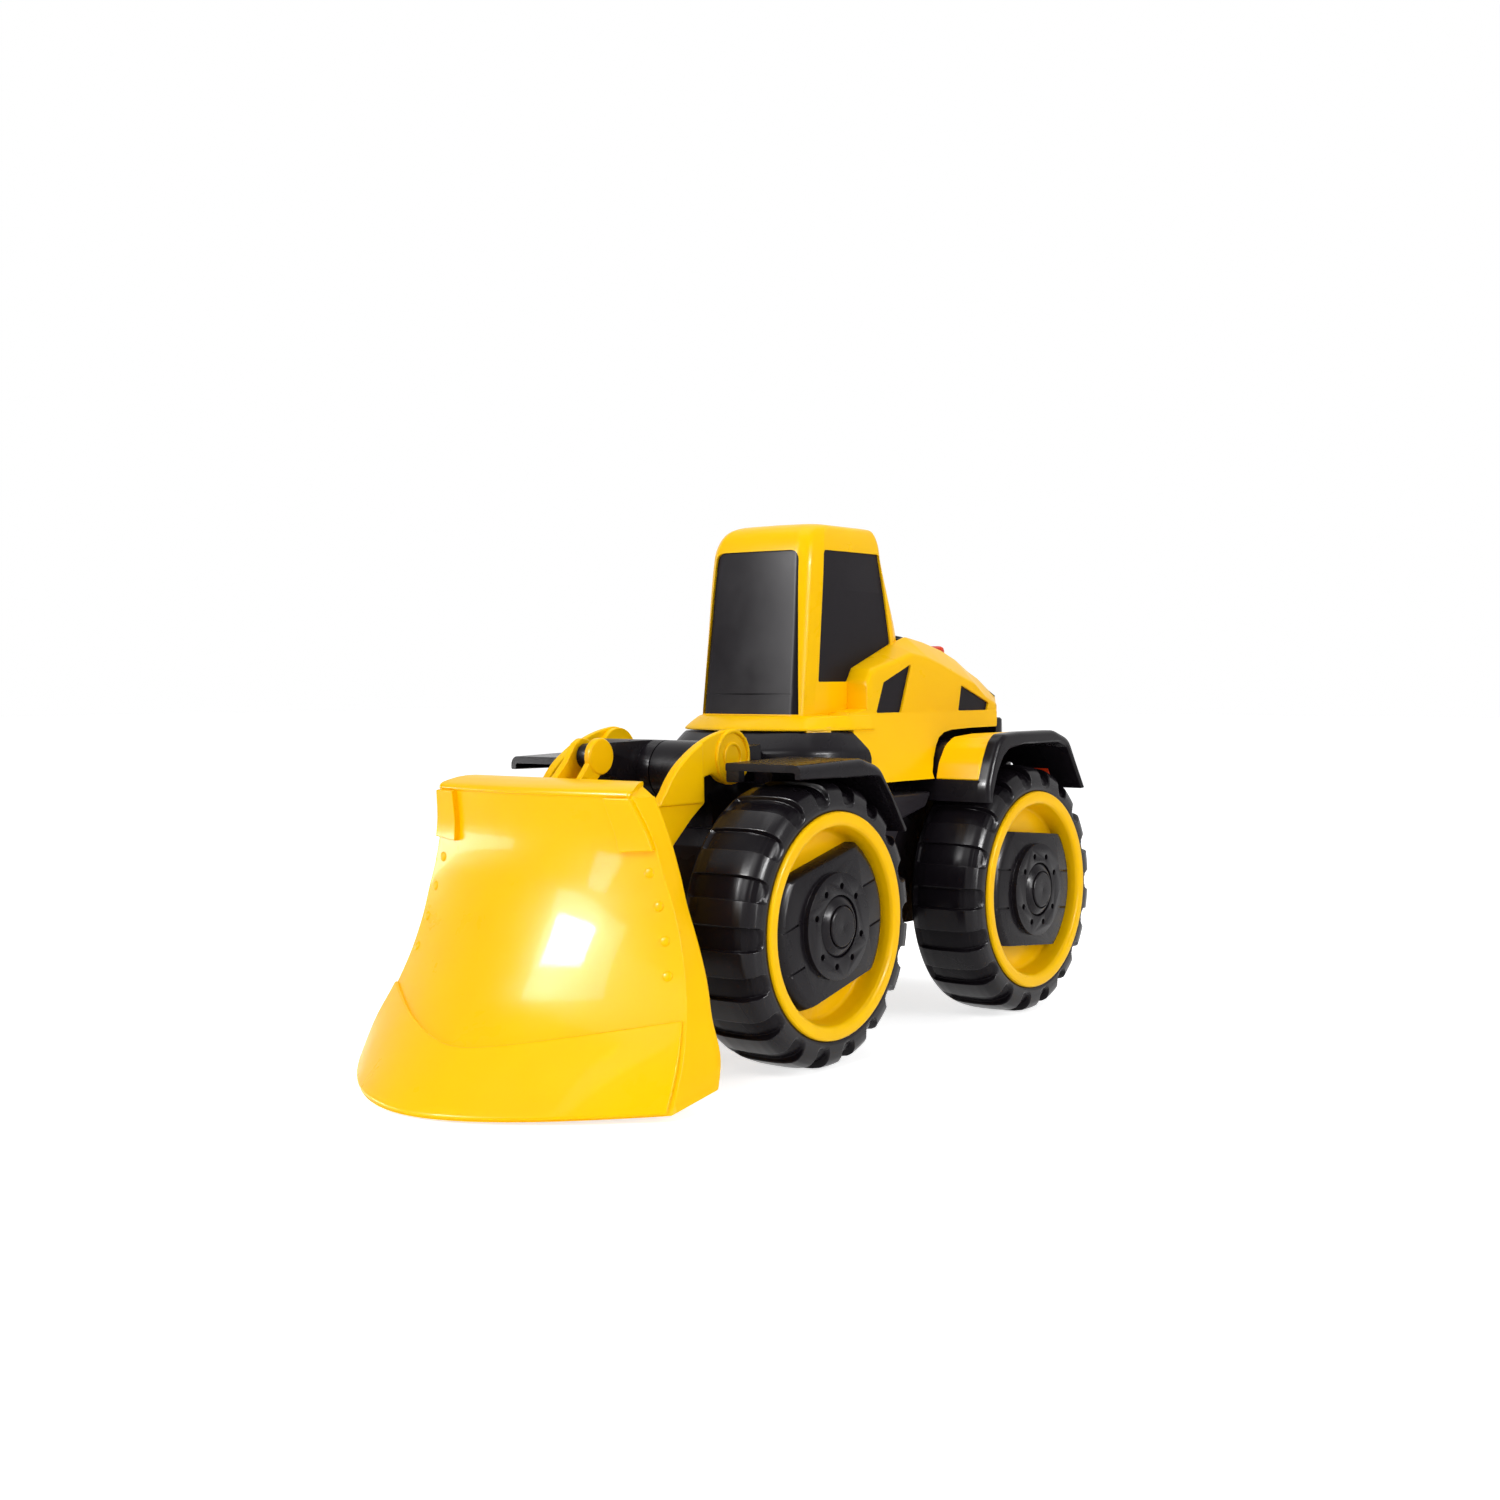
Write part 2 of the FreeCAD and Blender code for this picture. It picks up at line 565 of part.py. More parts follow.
def beacon_bar():
    """Red cross bar on two feet that stand in the deck."""
    body = new_body("beacon_bar")
    add(body, "YZ_Plane", circles([(155.5, 155.8)], "bar_radius"), "-bar_half", "bar_half")
    foot = rectangle(153.8, 157.2, 150, 155)
    for side in SIDES.values():
        add(body, "YZ_Plane", polygon(foot), *side_span(side, "11", "15"))
    return body


def engine_cover():
    bar = beacon_bar()
    pieces["beacon_bar"] = bar
    pieces["engine_deck"] = boolean("Cut", "engine_deck", engine_deck_blank(), [bar])


def rear_grille():
    """Rounded black tail behind the engine deck, with a narrower back wall up to the deck."""
    body = new_body("rear_grille")
    profile = [(197.2, 96.5), (221, 96.5), (222.6, 100), (219.6, 111.5), (217.5, 118), (212, 122.4),
               (204, 125), (195.2, 126), (195.2, 104.2), (197.2, 104.2)]
    add(body, "YZ_Plane", polygon(profile), "-24", "24")
    back_wall = [(195.2, 120), (205, 120), (203, 128), (198.5, 136.2), (195.2, 138.8)]
    add(body, "YZ_Plane", polygon(back_wall), "-16", "16")
    for side in SIDES.values():
        corner = [(side * 25, 200), (side * 24, 200), (side * 20, 208), (side * 10, 216),
                  (side * 6, 226), (side * 25, 226)]
        cut(body, "XY_Plane", polygon(corner), "90", "145")
    pieces["rear_grille"] = body


# ---------------------------------------------------------------- fenders
def front_fender(side_name, side):
    """Flat-topped mudguard with a sloping tail, a deep outer edge and a tab into the chassis."""
    label = f"front_fender_{side_name}"
    body = side_prism(label, [
        (-24, 109.8), (-24, 112.6), (17.3, 113.6), (28, 110.6), (47, 86.4), (44.4, 84.6), (26, 107.4),
        (16.5, 109.8)], side, "fender_inner", "fender_outer")
    skirt = [(-24, 107.4), (-24, 112.6), (17.3, 113.6), (28, 110.6), (47, 86.4), (44.4, 84.6),
             (34.5, 98.6), (27, 106.9)]
    add(body, "YZ_Plane", polygon(skirt), *side_span(side, "fender_outer - valance", "fender_outer"))
    tab = rectangle(3, 20, 104, 112)
    add(body, "YZ_Plane", polygon(tab), *side_span(side, "tab_inner", "fender_inner + 1"))
    stop = rectangle(-23.5, -20, 105.6, 111)
    add(body, "YZ_Plane", polygon(stop), *side_span(side, "fender_inner", "stop_outer"))
    pieces[label] = body


ARCH_TOP = [(109.5, 101.2), (111.5, 106.5), (116, 113.2), (122, 116.8), (136, 118.2), (168, 118.2),
            (177, 115.8)]
ARCH_UNDER = [(110.3, 92.3), (110.6, 96), (113.2, 104), (117.6, 110.6), (123, 114.2), (136, 115.6),
              (167.5, 115.6), (175, 113.4), (189, 94.4)]


def rear_fender(side_name, side):
    """Yellow arch on a black liner with a broad outer band, and the lamp in the liner's tail."""
    yellow = [(107.4, 101.2), (109.8, 108.4), (114.7, 115.8), (121.2, 119.5), (135.8, 120.7),
              (168.5, 120.8), (178.6, 118.4)]
    label = f"rear_fender_{side_name}"
    pieces[label] = side_prism(label, yellow + ARCH_TOP[::-1], side, "arch_inner", "arch_outer")

    lip_label = f"rear_fender_lip_{side_name}"
    tail = [(179.5, 115.0), (191.7, 95.4)]
    liner = [(107.2, 92.3), (107.4, 101.2)] + ARCH_TOP + tail + ARCH_UNDER[::-1]
    blank = side_prism(f"{lip_label}_blank", liner, side, "liner_inner", "band_outer")
    band = [(107.2, 92.3), (107, 117.3), (110, 119.2), (134, 120.4), (164.2, 120.5), (176.9, 116.8),
            (191.7, 95.4)] + ARCH_UNDER[::-1]
    add(blank, "YZ_Plane", polygon(band), *side_span(side, "arch_outer", "band_outer"))
    flange = [(120, 97), (120, 115), (167, 117), (172, 113.8), (172, 97)]
    add(blank, "YZ_Plane", polygon(flange), *side_span(side, "liner_inner", "liner_flange"))
    hole = circles([(side * 38.8, 104)], "bolt_radius + 0.6")
    cut(blank, "XZ_Plane", hole, *y_span("178", "192"))
    lamp_label = f"tail_lamp_{side_name}"
    lamp = side_prism(lamp_label, [(180.3, 106.8), (186, 108.2), (190.4, 101.1), (184.7, 99.7)],
                      side, "lamp_inner", "lamp_outer")
    pieces[lamp_label] = lamp
    pieces[lip_label] = boolean("Cut", lip_label, blank, [lamp])


# ---------------------------------------------------------------- arms, link and blade
def pivot():
    return dim("pivot_y"), dim("pivot_z")


def hinge():
    return dim("hinge_y"), dim("hinge_z")


def eye():
    return dim("eye_y"), dim("eye_z")


def lift_arm(side_name, side):
    """Curved plate from the chassis pivot down to the blade hinge, with a boss at each end."""
    label = f"lift_arm_{side_name}"
    py, pz = pivot()
    hy, hz = hinge()
    lobe = dim("lobe_radius")
    profile = [(-13, 124.5), ("arc", (py + 0.8 * lobe, pz + 0.6 * lobe), (py + 0.6 * lobe, pz - 0.8 * lobe)),
               ("arc", (py, pz - lobe), (-16.5, 105.5)), (-22.5, 108.3), (-27.1, 107.4), (-26.9, 97.8),
               (-34.4, 92.6), (-45.4, 83), (-58, 71.5), (hy + 7.4, hz - 4),
               ("arc", (hy - 4, hz - 7.4), (hy - 8.3, hz + 1.5)), ("arc", (-65.5, 85), (-50.4, 103.2)),
               ("arc", (-45.7, 109.3), (-38.5, 115)), ("arc", (-26.4, 121.2), (-13, 124.5))]
    body = side_prism(label, profile, side, "arm_inner", "arm_outer")
    boss = side_span(side, "boss_inner", "arm_inner + 1")
    add(body, "YZ_Plane", circles([(py, pz)], "lobe_radius - 0.5"), *boss)
    add(body, "YZ_Plane", circles([(hy, hz)], "lobe_radius - 3"), *boss)
    pin_span = side_span(side, "boss_inner - 1", "pivot_pin_outer")
    cut(body, "YZ_Plane", circles([(py, pz)], "pivot_pin_radius"), *pin_span)
    hinge_span = side_span(side, "boss_inner - 1", "arm_outer + 1")
    cut(body, "YZ_Plane", circles([(hy, hz)], "hinge_pin_radius + running_clearance"), *hinge_span)
    pieces[label] = body


def cross_pin(label, centre, radius, half):
    """Steel pin across the toy."""
    body = new_body(label)
    add(body, "YZ_Plane", circles([centre], radius), f"-({half})", half)
    pieces[label] = body


def arm_pivot_pins():
    """Two short pins, one from each arm's lobe into the chassis nose."""
    pins = []
    for side in SIDES.values():
        body = new_body("pivot_pin")
        span = side_span(side, "pivot_pin_inner", "pivot_pin_outer")
        add(body, "YZ_Plane", circles([pivot()], "pivot_pin_radius"), *span)
        pins.append(body)
    group = doc.addObject("Part::Compound", "arm_pivot_pins")
    group.Links = pins
    pieces["arm_pivot_pins"] = group


def arm_assembly():
    for side_name, side in SIDES.items():
        lift_arm(side_name, side)
    arm_pivot_pins()
    brace = rectangle(-54, -46, 86, 94)
    label = "arm_cross_brace"
    pieces[label] = side_prism(label, brace, LEFT, "-arm_inner", "arm_inner")


def tilt_link():
    """Link from the middle of the nose to the blade's fork: a broad knuckle and a narrow eye."""
    body = new_body("tilt_link")
    ny, nz, radius = dim("nose_y"), dim("nose_z"), dim("nose_radius")
    ey, ez = eye()
    tip = dim("eye_radius")
    bar = [(ey, ez + tip), (ny, nz + radius), (ny, nz), (ny - 7, nz - 7), (ey, ez - tip),
           ("arc", (ey - tip, ez), (ey, ez + tip))]
    add(body, "YZ_Plane", circles([(ny, nz)], "nose_radius"), "-knuckle_half", "knuckle_half")
    add(body, "YZ_Plane", polygon(bar), "-eye_half", "eye_half")
    bore = circles([(ny, nz)], "knuckle_pin_radius + running_clearance")
    cut(body, "YZ_Plane", bore, "-knuckle_half - 1", "knuckle_half + 1")
    hole = circles([eye()], "eye_pin_radius + eye_clearance")
    cut(body, "YZ_Plane", hole, "-eye_half - 1", "eye_half + 1")
    pieces["tilt_link"] = body
    cross_pin("link_pin", (ny, nz), "knuckle_pin_radius", "nose_half")


# Blade outline at each height: z, half width, y at the ends, y at the middle, wall, depth of returns.
BLADE_SECTIONS = [
    (2, 74.8, -100.6, -149, 5, 21.3), (17, 73.2, -93, -126, 4.4, 18), (30, 69.2, -87.6, -112, 3.6, 13.6),
    (55, 59.4, -83.5, -97, 3, 13.8), (83, 51.1, -81.9, -87.5, 3, 11.2), (95, 49, -85, -89, 3, 10.3),
    (103.4, 46.2, -87.2, -91, 3, 11.5)]


def blade_section(half, end_y, middle_y, wall, returns):
    """Thin bowed outline with a return running back from each end."""
    shoulder_x, flare = 0.59 * half, 0.12 * returns
    shoulder_y = middle_y + 0.38 * (end_y - middle_y)
    inner_half, inner_shoulder = half - wall, shoulder_x - 0.5 * wall
    return [
        (-half, end_y), (-shoulder_x, shoulder_y), ("arc", (0, middle_y), (shoulder_x, shoulder_y)),
        (half, end_y), (half + flare, end_y + returns), (half + flare - 2.6, end_y + returns),
        (inner_half, end_y + wall), (inner_shoulder, shoulder_y + wall),
        ("arc", (0, middle_y + wall), (-inner_shoulder, shoulder_y + wall)),
        (-inner_half, end_y + wall), (-half - flare + 2.6, end_y + returns),
        (-half - flare, end_y + returns)]


# Side view of the underside, which rises towards the ends, and of the two halves of the fork.
BLADE_UNDERSIDE = [(-153, 2.9), (-136, 4.2), (-99, 5.4), (-90, 6.9), (-79, 9.8), (-60, 20), (-60, -1),
                   (-153, -1)]


def fork():
    """Side views of the fork's plate and of its round boss."""
    ey, ez = eye()
    radius = dim("fork_radius")
    rounded = [(ey, ez + radius), ("arc", (ey + radius, ez), (ey, ez - radius)), (-62, 104), (-66.5, 102)]
    plate = [(-77, 104), (-73, 106.6), (-69.6, 109.2), (-65, 113.6), (-59.2, 121)] + rounded
    boss = [(-74, 104), (-67.5, 107), (ey - 0.95 * radius, ez - 0.3 * radius),
            ("arc", (ey - 0.7 * radius, ez + 0.714 * radius), (ey, ez + radius))] + rounded
    return plate, boss


def hinge_lugs(body):
    """Two lugs on each side that hold the hinge pin, one inside and one outside the arm."""
    hy, hz = hinge()
    reach = 7.5
    spans = [("lug_inner", "boss_inner - lug_gap", -86, -93), ("arm_outer + lug_gap", "lug_outer",
             -84.2, -90.5)]
    for side in SIDES.values():
        for inner, outer, upper_y, lower_y in spans:
            lug = [(upper_y, 80), (hy, hz + reach), ("arc", (hy + reach, hz), (hy, hz - reach)),
                   (lower_y, 50)]
            add(body, "YZ_Plane", polygon(lug), *side_span(side, inner, outer))
    cut(body, "YZ_Plane", circles([hinge()], "hinge_pin_radius"), "-lug_outer - 1", "lug_outer + 1")


def blade():
    """Bowed blade with returns, top plate, fork and two pairs of hinge lugs."""
    body = new_body("blade")
    sections = [(z, blade_section(*rest)) for z, *rest in BLADE_SECTIONS]
    loft(body, "AdditiveLoft", "XY_Plane", sections)
    cut(body, "YZ_Plane", polygon(BLADE_UNDERSIDE), "-90", "90")
    top = [(-88, 101.3), (-88, 103.4), (-74, 108.4), (-74, 105.4), (-86, 101.3)]
    add(body, "YZ_Plane", polygon(top), "-45.5", "45.5")
    for side in SIDES.values():
        corner = [(side * 45.6, -88), (side * 40.3, -73), (side * 50, -73), (side * 50, -88)]
        cut(body, "XY_Plane", polygon(corner), "103.4", "110")
    web = [(-84, 96), (-84, 104), (-74, 108), (-70, 107.5), (-66, 103), (-67.5, 97)]
    add(body, "YZ_Plane", polygon(web), "-fork_half", "fork_half")
    plate, boss = fork()
    add(body, "YZ_Plane", polygon(plate), "-fork_half", "fork_step")
    add(body, "YZ_Plane", polygon(boss), "fork_step", "fork_half")
    ey, ez = eye()
    reach = dim("eye_radius") + 0.7
    gap = rectangle(ey - reach, ey + 12, ez - reach - 1, ez + reach + 4)
    cut(body, "YZ_Plane", polygon(gap), "-fork_gap_half", "fork_gap_half")
    hinge_lugs(body)
    cut(body, "YZ_Plane", circles([eye()], "eye_pin_radius"), "-fork_half + 1", "fork_half - 1")
    pieces["blade"] = body
    cross_pin("blade_hinge_pin", hinge(), "hinge_pin_radius", "lug_outer")
    cross_pin("blade_eye_pin", eye(), "eye_pin_radius", "fork_half - 1")


# ---------------------------------------------------------------- build, check, export
def check():
    """Stop on any object that failed and on any empty, invalid or broken-up sub-part."""
    failed = [item.Label for item in doc.Objects if {"Invalid", "Error"} & set(item.State)]
    if failed:
        raise RuntimeError(f"these objects failed: {failed}")
    for label, item in pieces.items():
        if item.Shape.isNull() or not item.Shape.isValid():
            raise RuntimeError(f"{label} has no valid shape")
        box = item.Shape.BoundBox
        print(f"{label:26s} solids {len(item.Shape.Solids)} volume {item.Shape.Volume / 1000:8.2f} cm3 "
              f"x {box.XMin:.1f}..{box.XMax:.1f} y {box.YMin:.1f}..{box.YMax:.1f} "
              f"z {box.ZMin:.1f}..{box.ZMax:.1f}")


def build():
    wheels()
    lower_chassis()
    chassis_screws()
    upper_chassis()
    rear_bumper()
    cab()
    upper_body()
    engine_cover()
    rear_grille()
    for side_name, side in SIDES.items():
        side_step(side_name, side)
        front_fender(side_name, side)
        rear_fender(side_name, side)
    arm_assembly()
    tilt_link()
    blade()
    doc.recompute()


build()
check()
os.makedirs("parts", exist_ok=True)
for label, item in pieces.items():
    item.Shape.exportStep(f"parts/{label}.step")
print(f"{len(pieces)} sub-parts written")
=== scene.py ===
"""Toy bulldozer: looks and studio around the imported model. Lengths are in metres."""

import json
import math

import bmesh
import bpy
from mathutils import Matrix, Vector

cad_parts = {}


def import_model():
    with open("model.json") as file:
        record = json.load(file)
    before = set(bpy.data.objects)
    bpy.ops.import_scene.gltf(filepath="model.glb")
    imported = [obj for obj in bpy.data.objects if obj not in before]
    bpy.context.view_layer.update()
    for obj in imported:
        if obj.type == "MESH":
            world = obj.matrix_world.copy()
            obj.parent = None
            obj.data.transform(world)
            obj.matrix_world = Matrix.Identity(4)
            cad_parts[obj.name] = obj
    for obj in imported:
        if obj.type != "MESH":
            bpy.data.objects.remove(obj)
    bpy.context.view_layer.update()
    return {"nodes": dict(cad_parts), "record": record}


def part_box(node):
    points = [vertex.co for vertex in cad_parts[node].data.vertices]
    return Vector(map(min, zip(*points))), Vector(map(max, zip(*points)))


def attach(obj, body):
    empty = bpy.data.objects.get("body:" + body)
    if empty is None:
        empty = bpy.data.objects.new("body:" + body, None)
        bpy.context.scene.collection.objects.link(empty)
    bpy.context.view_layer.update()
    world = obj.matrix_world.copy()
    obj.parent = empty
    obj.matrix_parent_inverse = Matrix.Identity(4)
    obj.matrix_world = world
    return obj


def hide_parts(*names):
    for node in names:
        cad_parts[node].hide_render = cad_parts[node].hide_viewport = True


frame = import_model()
NODES = frame["nodes"]
BODY_OF = {node: body for body, nodes in frame["record"]["behaviour"]["bodies"].items() for node in nodes}
SLOT_OF = {part["node"]: part["material_slot"] for part in frame["record"]["subparts"]}
MM = 0.001


FRONT_Y, REAR_Y = (sum(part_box(f"{end}_axle_shaft"), Vector()).y / 2 for end in ("front", "rear"))
WHEELBASE = (REAR_Y - FRONT_Y) / MM
SIDES = {"left": 1, "right": -1}
TYRE_RADIUS = 53  # also the height of the axles
PIVOT, HINGE = (-10.7, 114.3), (-68, 66)  # the lift arms' two ends, as (y, z)
FORK_EYE = (-56, 115.3)  # the blade's pin in the link


def at(x, y, z):
    """Point given in millimetres, with y from the front axle and z from the ground."""
    return Vector((x * MM, FRONT_Y + y * MM, z * MM))


# ---- materials
class Shader:
    """Short calls for the procedural nodes of a new material or world."""

    def __init__(self, owner, main, **sockets):
        owner.use_nodes = True
        self.owner, self.tree = owner, owner.node_tree
        self.main = self.tree.nodes[main]
        for socket, value in sockets.items():
            self.main.inputs[socket.replace("_", " ")].default_value = value

    def add(self, kind, **settings):
        node = self.tree.nodes.new(kind)
        for key, value in settings.items():
            if key in node.inputs:
                node.inputs[key].default_value = value
            else:
                setattr(node, key, value)
        return node

    def link(self, start, end):
        self.tree.links.new(start, end)

    def drive(self, value, socket):
        """Link a value to a socket of the main node."""
        self.link(value, self.main.inputs[socket])

    def noise(self, scale, detail, roughness, distortion=0.0):
        node = self.add("ShaderNodeTexNoise", Scale=scale, Detail=detail, Roughness=roughness,
                        Distortion=distortion)
        self.link(self.add("ShaderNodeTexCoord").outputs["Object"], node.inputs["Vector"])
        return node.outputs["Fac"]

    def ramp(self, value, low, high, start=0.3, stop=0.7):
        """Map a value to the range from low to high."""
        node = self.add("ShaderNodeMapRange")
        for socket, number in zip(("From Min", "From Max", "To Min", "To Max"), (start, stop, low, high)):
            node.inputs[socket].default_value = number
        self.link(value, node.inputs["Value"])
        return node.outputs["Result"]

    def colour(self, fac, first, second):
        """Base colour between two linear colours, by a cloudy value."""
        node = self.add("ShaderNodeMix", data_type="RGBA")
        self.link(self.ramp(fac, 0, 1), node.inputs["Factor"])
        node.inputs[6].default_value, node.inputs[7].default_value = first, second
        self.drive(node.outputs[2], "Base Color")

    def bump(self, height, distance):
        node = self.add("ShaderNodeBump", Distance=distance)
        self.link(height, node.inputs["Height"])
        self.drive(node.outputs["Normal"], "Normal")

    def seen_or_lit(self, lit, seen):
        """One strength for the rays that light the object, and one where it is seen or mirrored."""
        path = self.add("ShaderNodeLightPath").outputs
        value = path["Is Camera Ray"]
        for name in ("Is Glossy Ray", "Is Transmission Ray"):
            either = self.add("ShaderNodeMath", operation="MAXIMUM")
            self.link(value, either.inputs[0])
            self.link(path[name], either.inputs[1])
            value = either.outputs[0]
        return self.ramp(value, lit, seen, 0, 1)


def rgb(red, green, blue):
    """Linear colour of an sRGB colour given in 0..255."""
    def linear(value):
        value /= 255
        return value / 12.92 if value <= 0.04045 else ((value + 0.055) / 1.055) ** 2.4
    return linear(red), linear(green), linear(blue), 1.0


def moulded_plastic(name, dark, light, rough, gloss_spread, orange_peel, speckle=0.0, **sockets):
    """Injection-moulded plastic: cloudy colour, uneven gloss, faint waviness and fine grain."""
    shader = Shader(bpy.data.materials.new(name), "Principled BSDF", **sockets)
    shader.colour(shader.noise(18, 4, 0.55), rgb(*dark), rgb(*light))
    patches = shader.noise(55, 5, 0.6, 0.4)
    shader.drive(shader.ramp(patches, rough - gloss_spread, rough + gloss_spread), "Roughness")
    height = shader.noise(140, 2, 0.4)
    if speckle:
        mix = shader.add("ShaderNodeMath", operation="MULTIPLY_ADD")
        mix.inputs[1].default_value = speckle
        shader.link(shader.noise(2600, 2, 0.6), mix.inputs[0])
        shader.link(height, mix.inputs[2])
        height = mix.outputs[0]
    shader.bump(height, orange_peel)
    return shader


def tyre_plastic():
    """Glossy lugs with duller recesses between them; the lower specular level in the recesses also darkens
    them as painted shade.
    """
    shader = moulded_plastic("tyre_satin", (17, 14, 18), (23, 20, 24), 0.24, 0.04, 0.00003, 0.15)
    recess = shader.add("ShaderNodeAttribute", attribute_name="recess").outputs["Fac"]
    # Painted shade: the specular level falls where the recess share is high, so the recesses render darker.
    shader.drive(shader.ramp(recess, 0.16, 0.07, 0, 1), "Specular IOR Level")
    return shader


def drawn_steel():
    """Steel with fine streaks along the pins and shafts."""
    shader = Shader(bpy.data.materials.new("drawn_steel"), "Principled BSDF", Metallic=1.0)
    streaks = shader.add("ShaderNodeTexNoise", Scale=60.0, Detail=6.0)
    mapping = shader.add("ShaderNodeMapping", Scale=(1.0, 30.0, 30.0))
    shader.link(shader.add("ShaderNodeTexCoord").outputs["Object"], mapping.inputs["Vector"])
    shader.link(mapping.outputs["Vector"], streaks.inputs["Vector"])
    fac = streaks.outputs["Fac"]
    shader.colour(fac, (0.42, 0.42, 0.43, 1), (0.66, 0.66, 0.67, 1))
    shader.drive(shader.ramp(fac, 0.22, 0.4), "Roughness")
    shader.bump(fac, 0.00005)
    return shader


FINISHES = {
    "yellow_plastic": moulded_plastic(
        "yellow_gloss", (251, 192, 0), (254, 199, 0), 0.3, 0.04, 0.00002,
        Specular_IOR_Level=0.05, Coat_Weight=0.05, Coat_Roughness=0.06),
    "black_plastic": moulded_plastic(
        "black_satin", (19, 16, 20), (24, 21, 25), 0.28, 0.05, 0.00003, 0.2,
        Specular_IOR_Level=0.08, Coat_Weight=0.05, Coat_Roughness=0.12),
    "tyre_rubber": tyre_plastic(),
    "window_black": moulded_plastic(
        "window_satin", (28, 25, 29), (33, 30, 34), 0.34, 0.05, 0.00002, 0.25, Specular_IOR_Level=0.045),
    "grey_plastic": moulded_plastic(
        "grey_satin", (34, 31, 35), (42, 39, 43), 0.32, 0.05, 0.00004, 0.2, Specular_IOR_Level=0.16),
    # The red plastic's faint glow is painted light: it stands in for light shining through the tail lamps'
    # lenses, and the beacon bar shares it.
    "red_plastic": moulded_plastic(
        "red_gloss_painted_glow", (196, 44, 8), (214, 58, 14), 0.2, 0.05, 0.00002,
        Specular_IOR_Level=0.2, Coat_Weight=0.1,
        Emission_Color=(0.75, 0.05, 0.01, 1), Emission_Strength=0.12),
    "steel": drawn_steel(),
}


# ---- mesh helpers
def sheet(bm, rows, wrap=False, cap=False):
    """Quads between rows of points; wrap closes each row, cap closes the two ends."""
    verts = [[bm.verts.new(point) for point in row] for row in rows]
    count = len(rows[0])
    for first, second in zip(verts, verts[1:]):
        for i in range(count if wrap else count - 1):
            j = (i + 1) % count
            bm.faces.new((first[i], first[j], second[j], second[i]))
    if cap:
        bm.faces.new(verts[0][::-1])
        bm.faces.new(verts[-1])
    return verts


def add_object(name, data):
    """New object in the scene."""
    thing = bpy.data.objects.new(name, data)
    bpy.context.collection.objects.link(thing)
    return thing


def new_piece(name, bm, weld=0.0):
    """Turn a bmesh into a smooth-shaded object in the scene."""
    if weld:
        bmesh.ops.remove_doubles(bm, verts=bm.verts, dist=weld)
    bmesh.ops.recalc_face_normals(bm, faces=bm.faces)
    mesh = bpy.data.meshes.new(name)
    bm.to_mesh(mesh)
    bm.free()
    for polygon in mesh.polygons:
        polygon.use_smooth = True
    return add_object(name, mesh)


def apply_modifiers(piece):
    """Bake a piece's modifiers into its mesh."""
    bpy.context.view_layer.update()
    depsgraph = bpy.context.evaluated_depsgraph_get()
    mesh = bpy.data.meshes.new_from_object(piece.evaluated_get(depsgraph))
    piece.modifiers.clear()
    piece.data = mesh


def round_edges(piece, width, segments=3, angle=30):
    """Round every sharp edge, and keep the flats flat in the shading; width is in millimetres."""
    bevel = piece.modifiers.new("bevel", "BEVEL")
    bevel.width, bevel.segments = width * MM, segments
    bevel.limit_method, bevel.angle_limit = "ANGLE", math.radians(angle)
    bevel.harden_normals = True
    apply_modifiers(piece)


def paint(piece, node):
    """Give a piece the finish of a CAD node."""
    piece.data.materials.clear()
    piece.data.materials.append(FINISHES[SLOT_OF[node]].owner)


def stand_for(piece, node):
    """Let a piece replace a CAD node, ride on its body and take its finish."""
    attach(piece, BODY_OF[node])
    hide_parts(node)
    paint(piece, node)


def mould(node, parts):
    """Join parts to the piece that stands for a CAD node, with their shading kept."""
    bm = bmesh.new()
    for part in parts:
        bm.from_mesh(part.data)
    mesh = bpy.data.meshes.new(f"{node}_moulding")
    bm.to_mesh(mesh)
    bm.free()
    whole = add_object(f"{node}_moulding", mesh)
    mesh.normals_split_custom_set([tuple(n.vector) for part in parts for n in part.data.corner_normals])
    for part in parts:
        bpy.data.objects.remove(part)
    stand_for(whole, node)


def softened(node, width):
    """A CAD node's form with its edges rounded by width millimetres."""
    bm = bmesh.new()
    bm.from_mesh(NODES[node].data)
    bmesh.ops.remove_doubles(bm, verts=bm.verts, dist=0.00001)
    bmesh.ops.dissolve_limit(bm, angle_limit=math.radians(3), verts=bm.verts, edges=bm.edges)
    piece = new_piece(f"{node}_moulding", bm)
    if width:
        round_edges(piece, width, 3, 25)
    return piece


def bend(start, corner, end, steps):
    """The curve from start to end that is pulled towards a corner, as steps + 1 values."""
    shares = [k / steps for k in range(steps + 1)]
    return [(1 - t) ** 2 * start + 2 * t * (1 - t) * corner + t * t * end for t in shares]


def corner_at(points, i):
    """A corner, the ways to its neighbours, and the angle by which the line turns there."""
    corner = Vector(points[i])
    before, after = Vector(points[i - 1]) - corner, Vector(points[(i + 1) % len(points)]) - corner
    return corner, before, after, math.pi - before.angle(after, math.pi)


def rounded(points, radius, steps=5, closed=True):
    """Polyline whose corners are rounded; radius is one number or one for each corner."""
    if not radius:
        return points
    count, line = len(points), []
    radii = radius if isinstance(radius, list) else [radius] * count
    for i in range(count):
        corner, before, after, turn = corner_at(points, i)
        if radii[i] <= 0 or turn < math.radians(2) or not closed and i in (0, count - 1):
            line.append(corner)
            continue
        cut = min(radii[i] * math.tan(turn / 2), 0.48 * before.length, 0.48 * after.length)
        line += bend(corner + before.normalized() * cut, corner, corner + after.normalized() * cut, steps)
    return line


def eased(points, radius, steps=5):
    """Open line with its corners rounded."""
    return rounded(points, radius, steps, closed=False)


def distances(points):
    """Distance along a polyline to each of its points."""
    reach = [0.0]
    for a, b in zip(points, points[1:]):
        reach.append(reach[-1] + (b - a).length)
    return reach


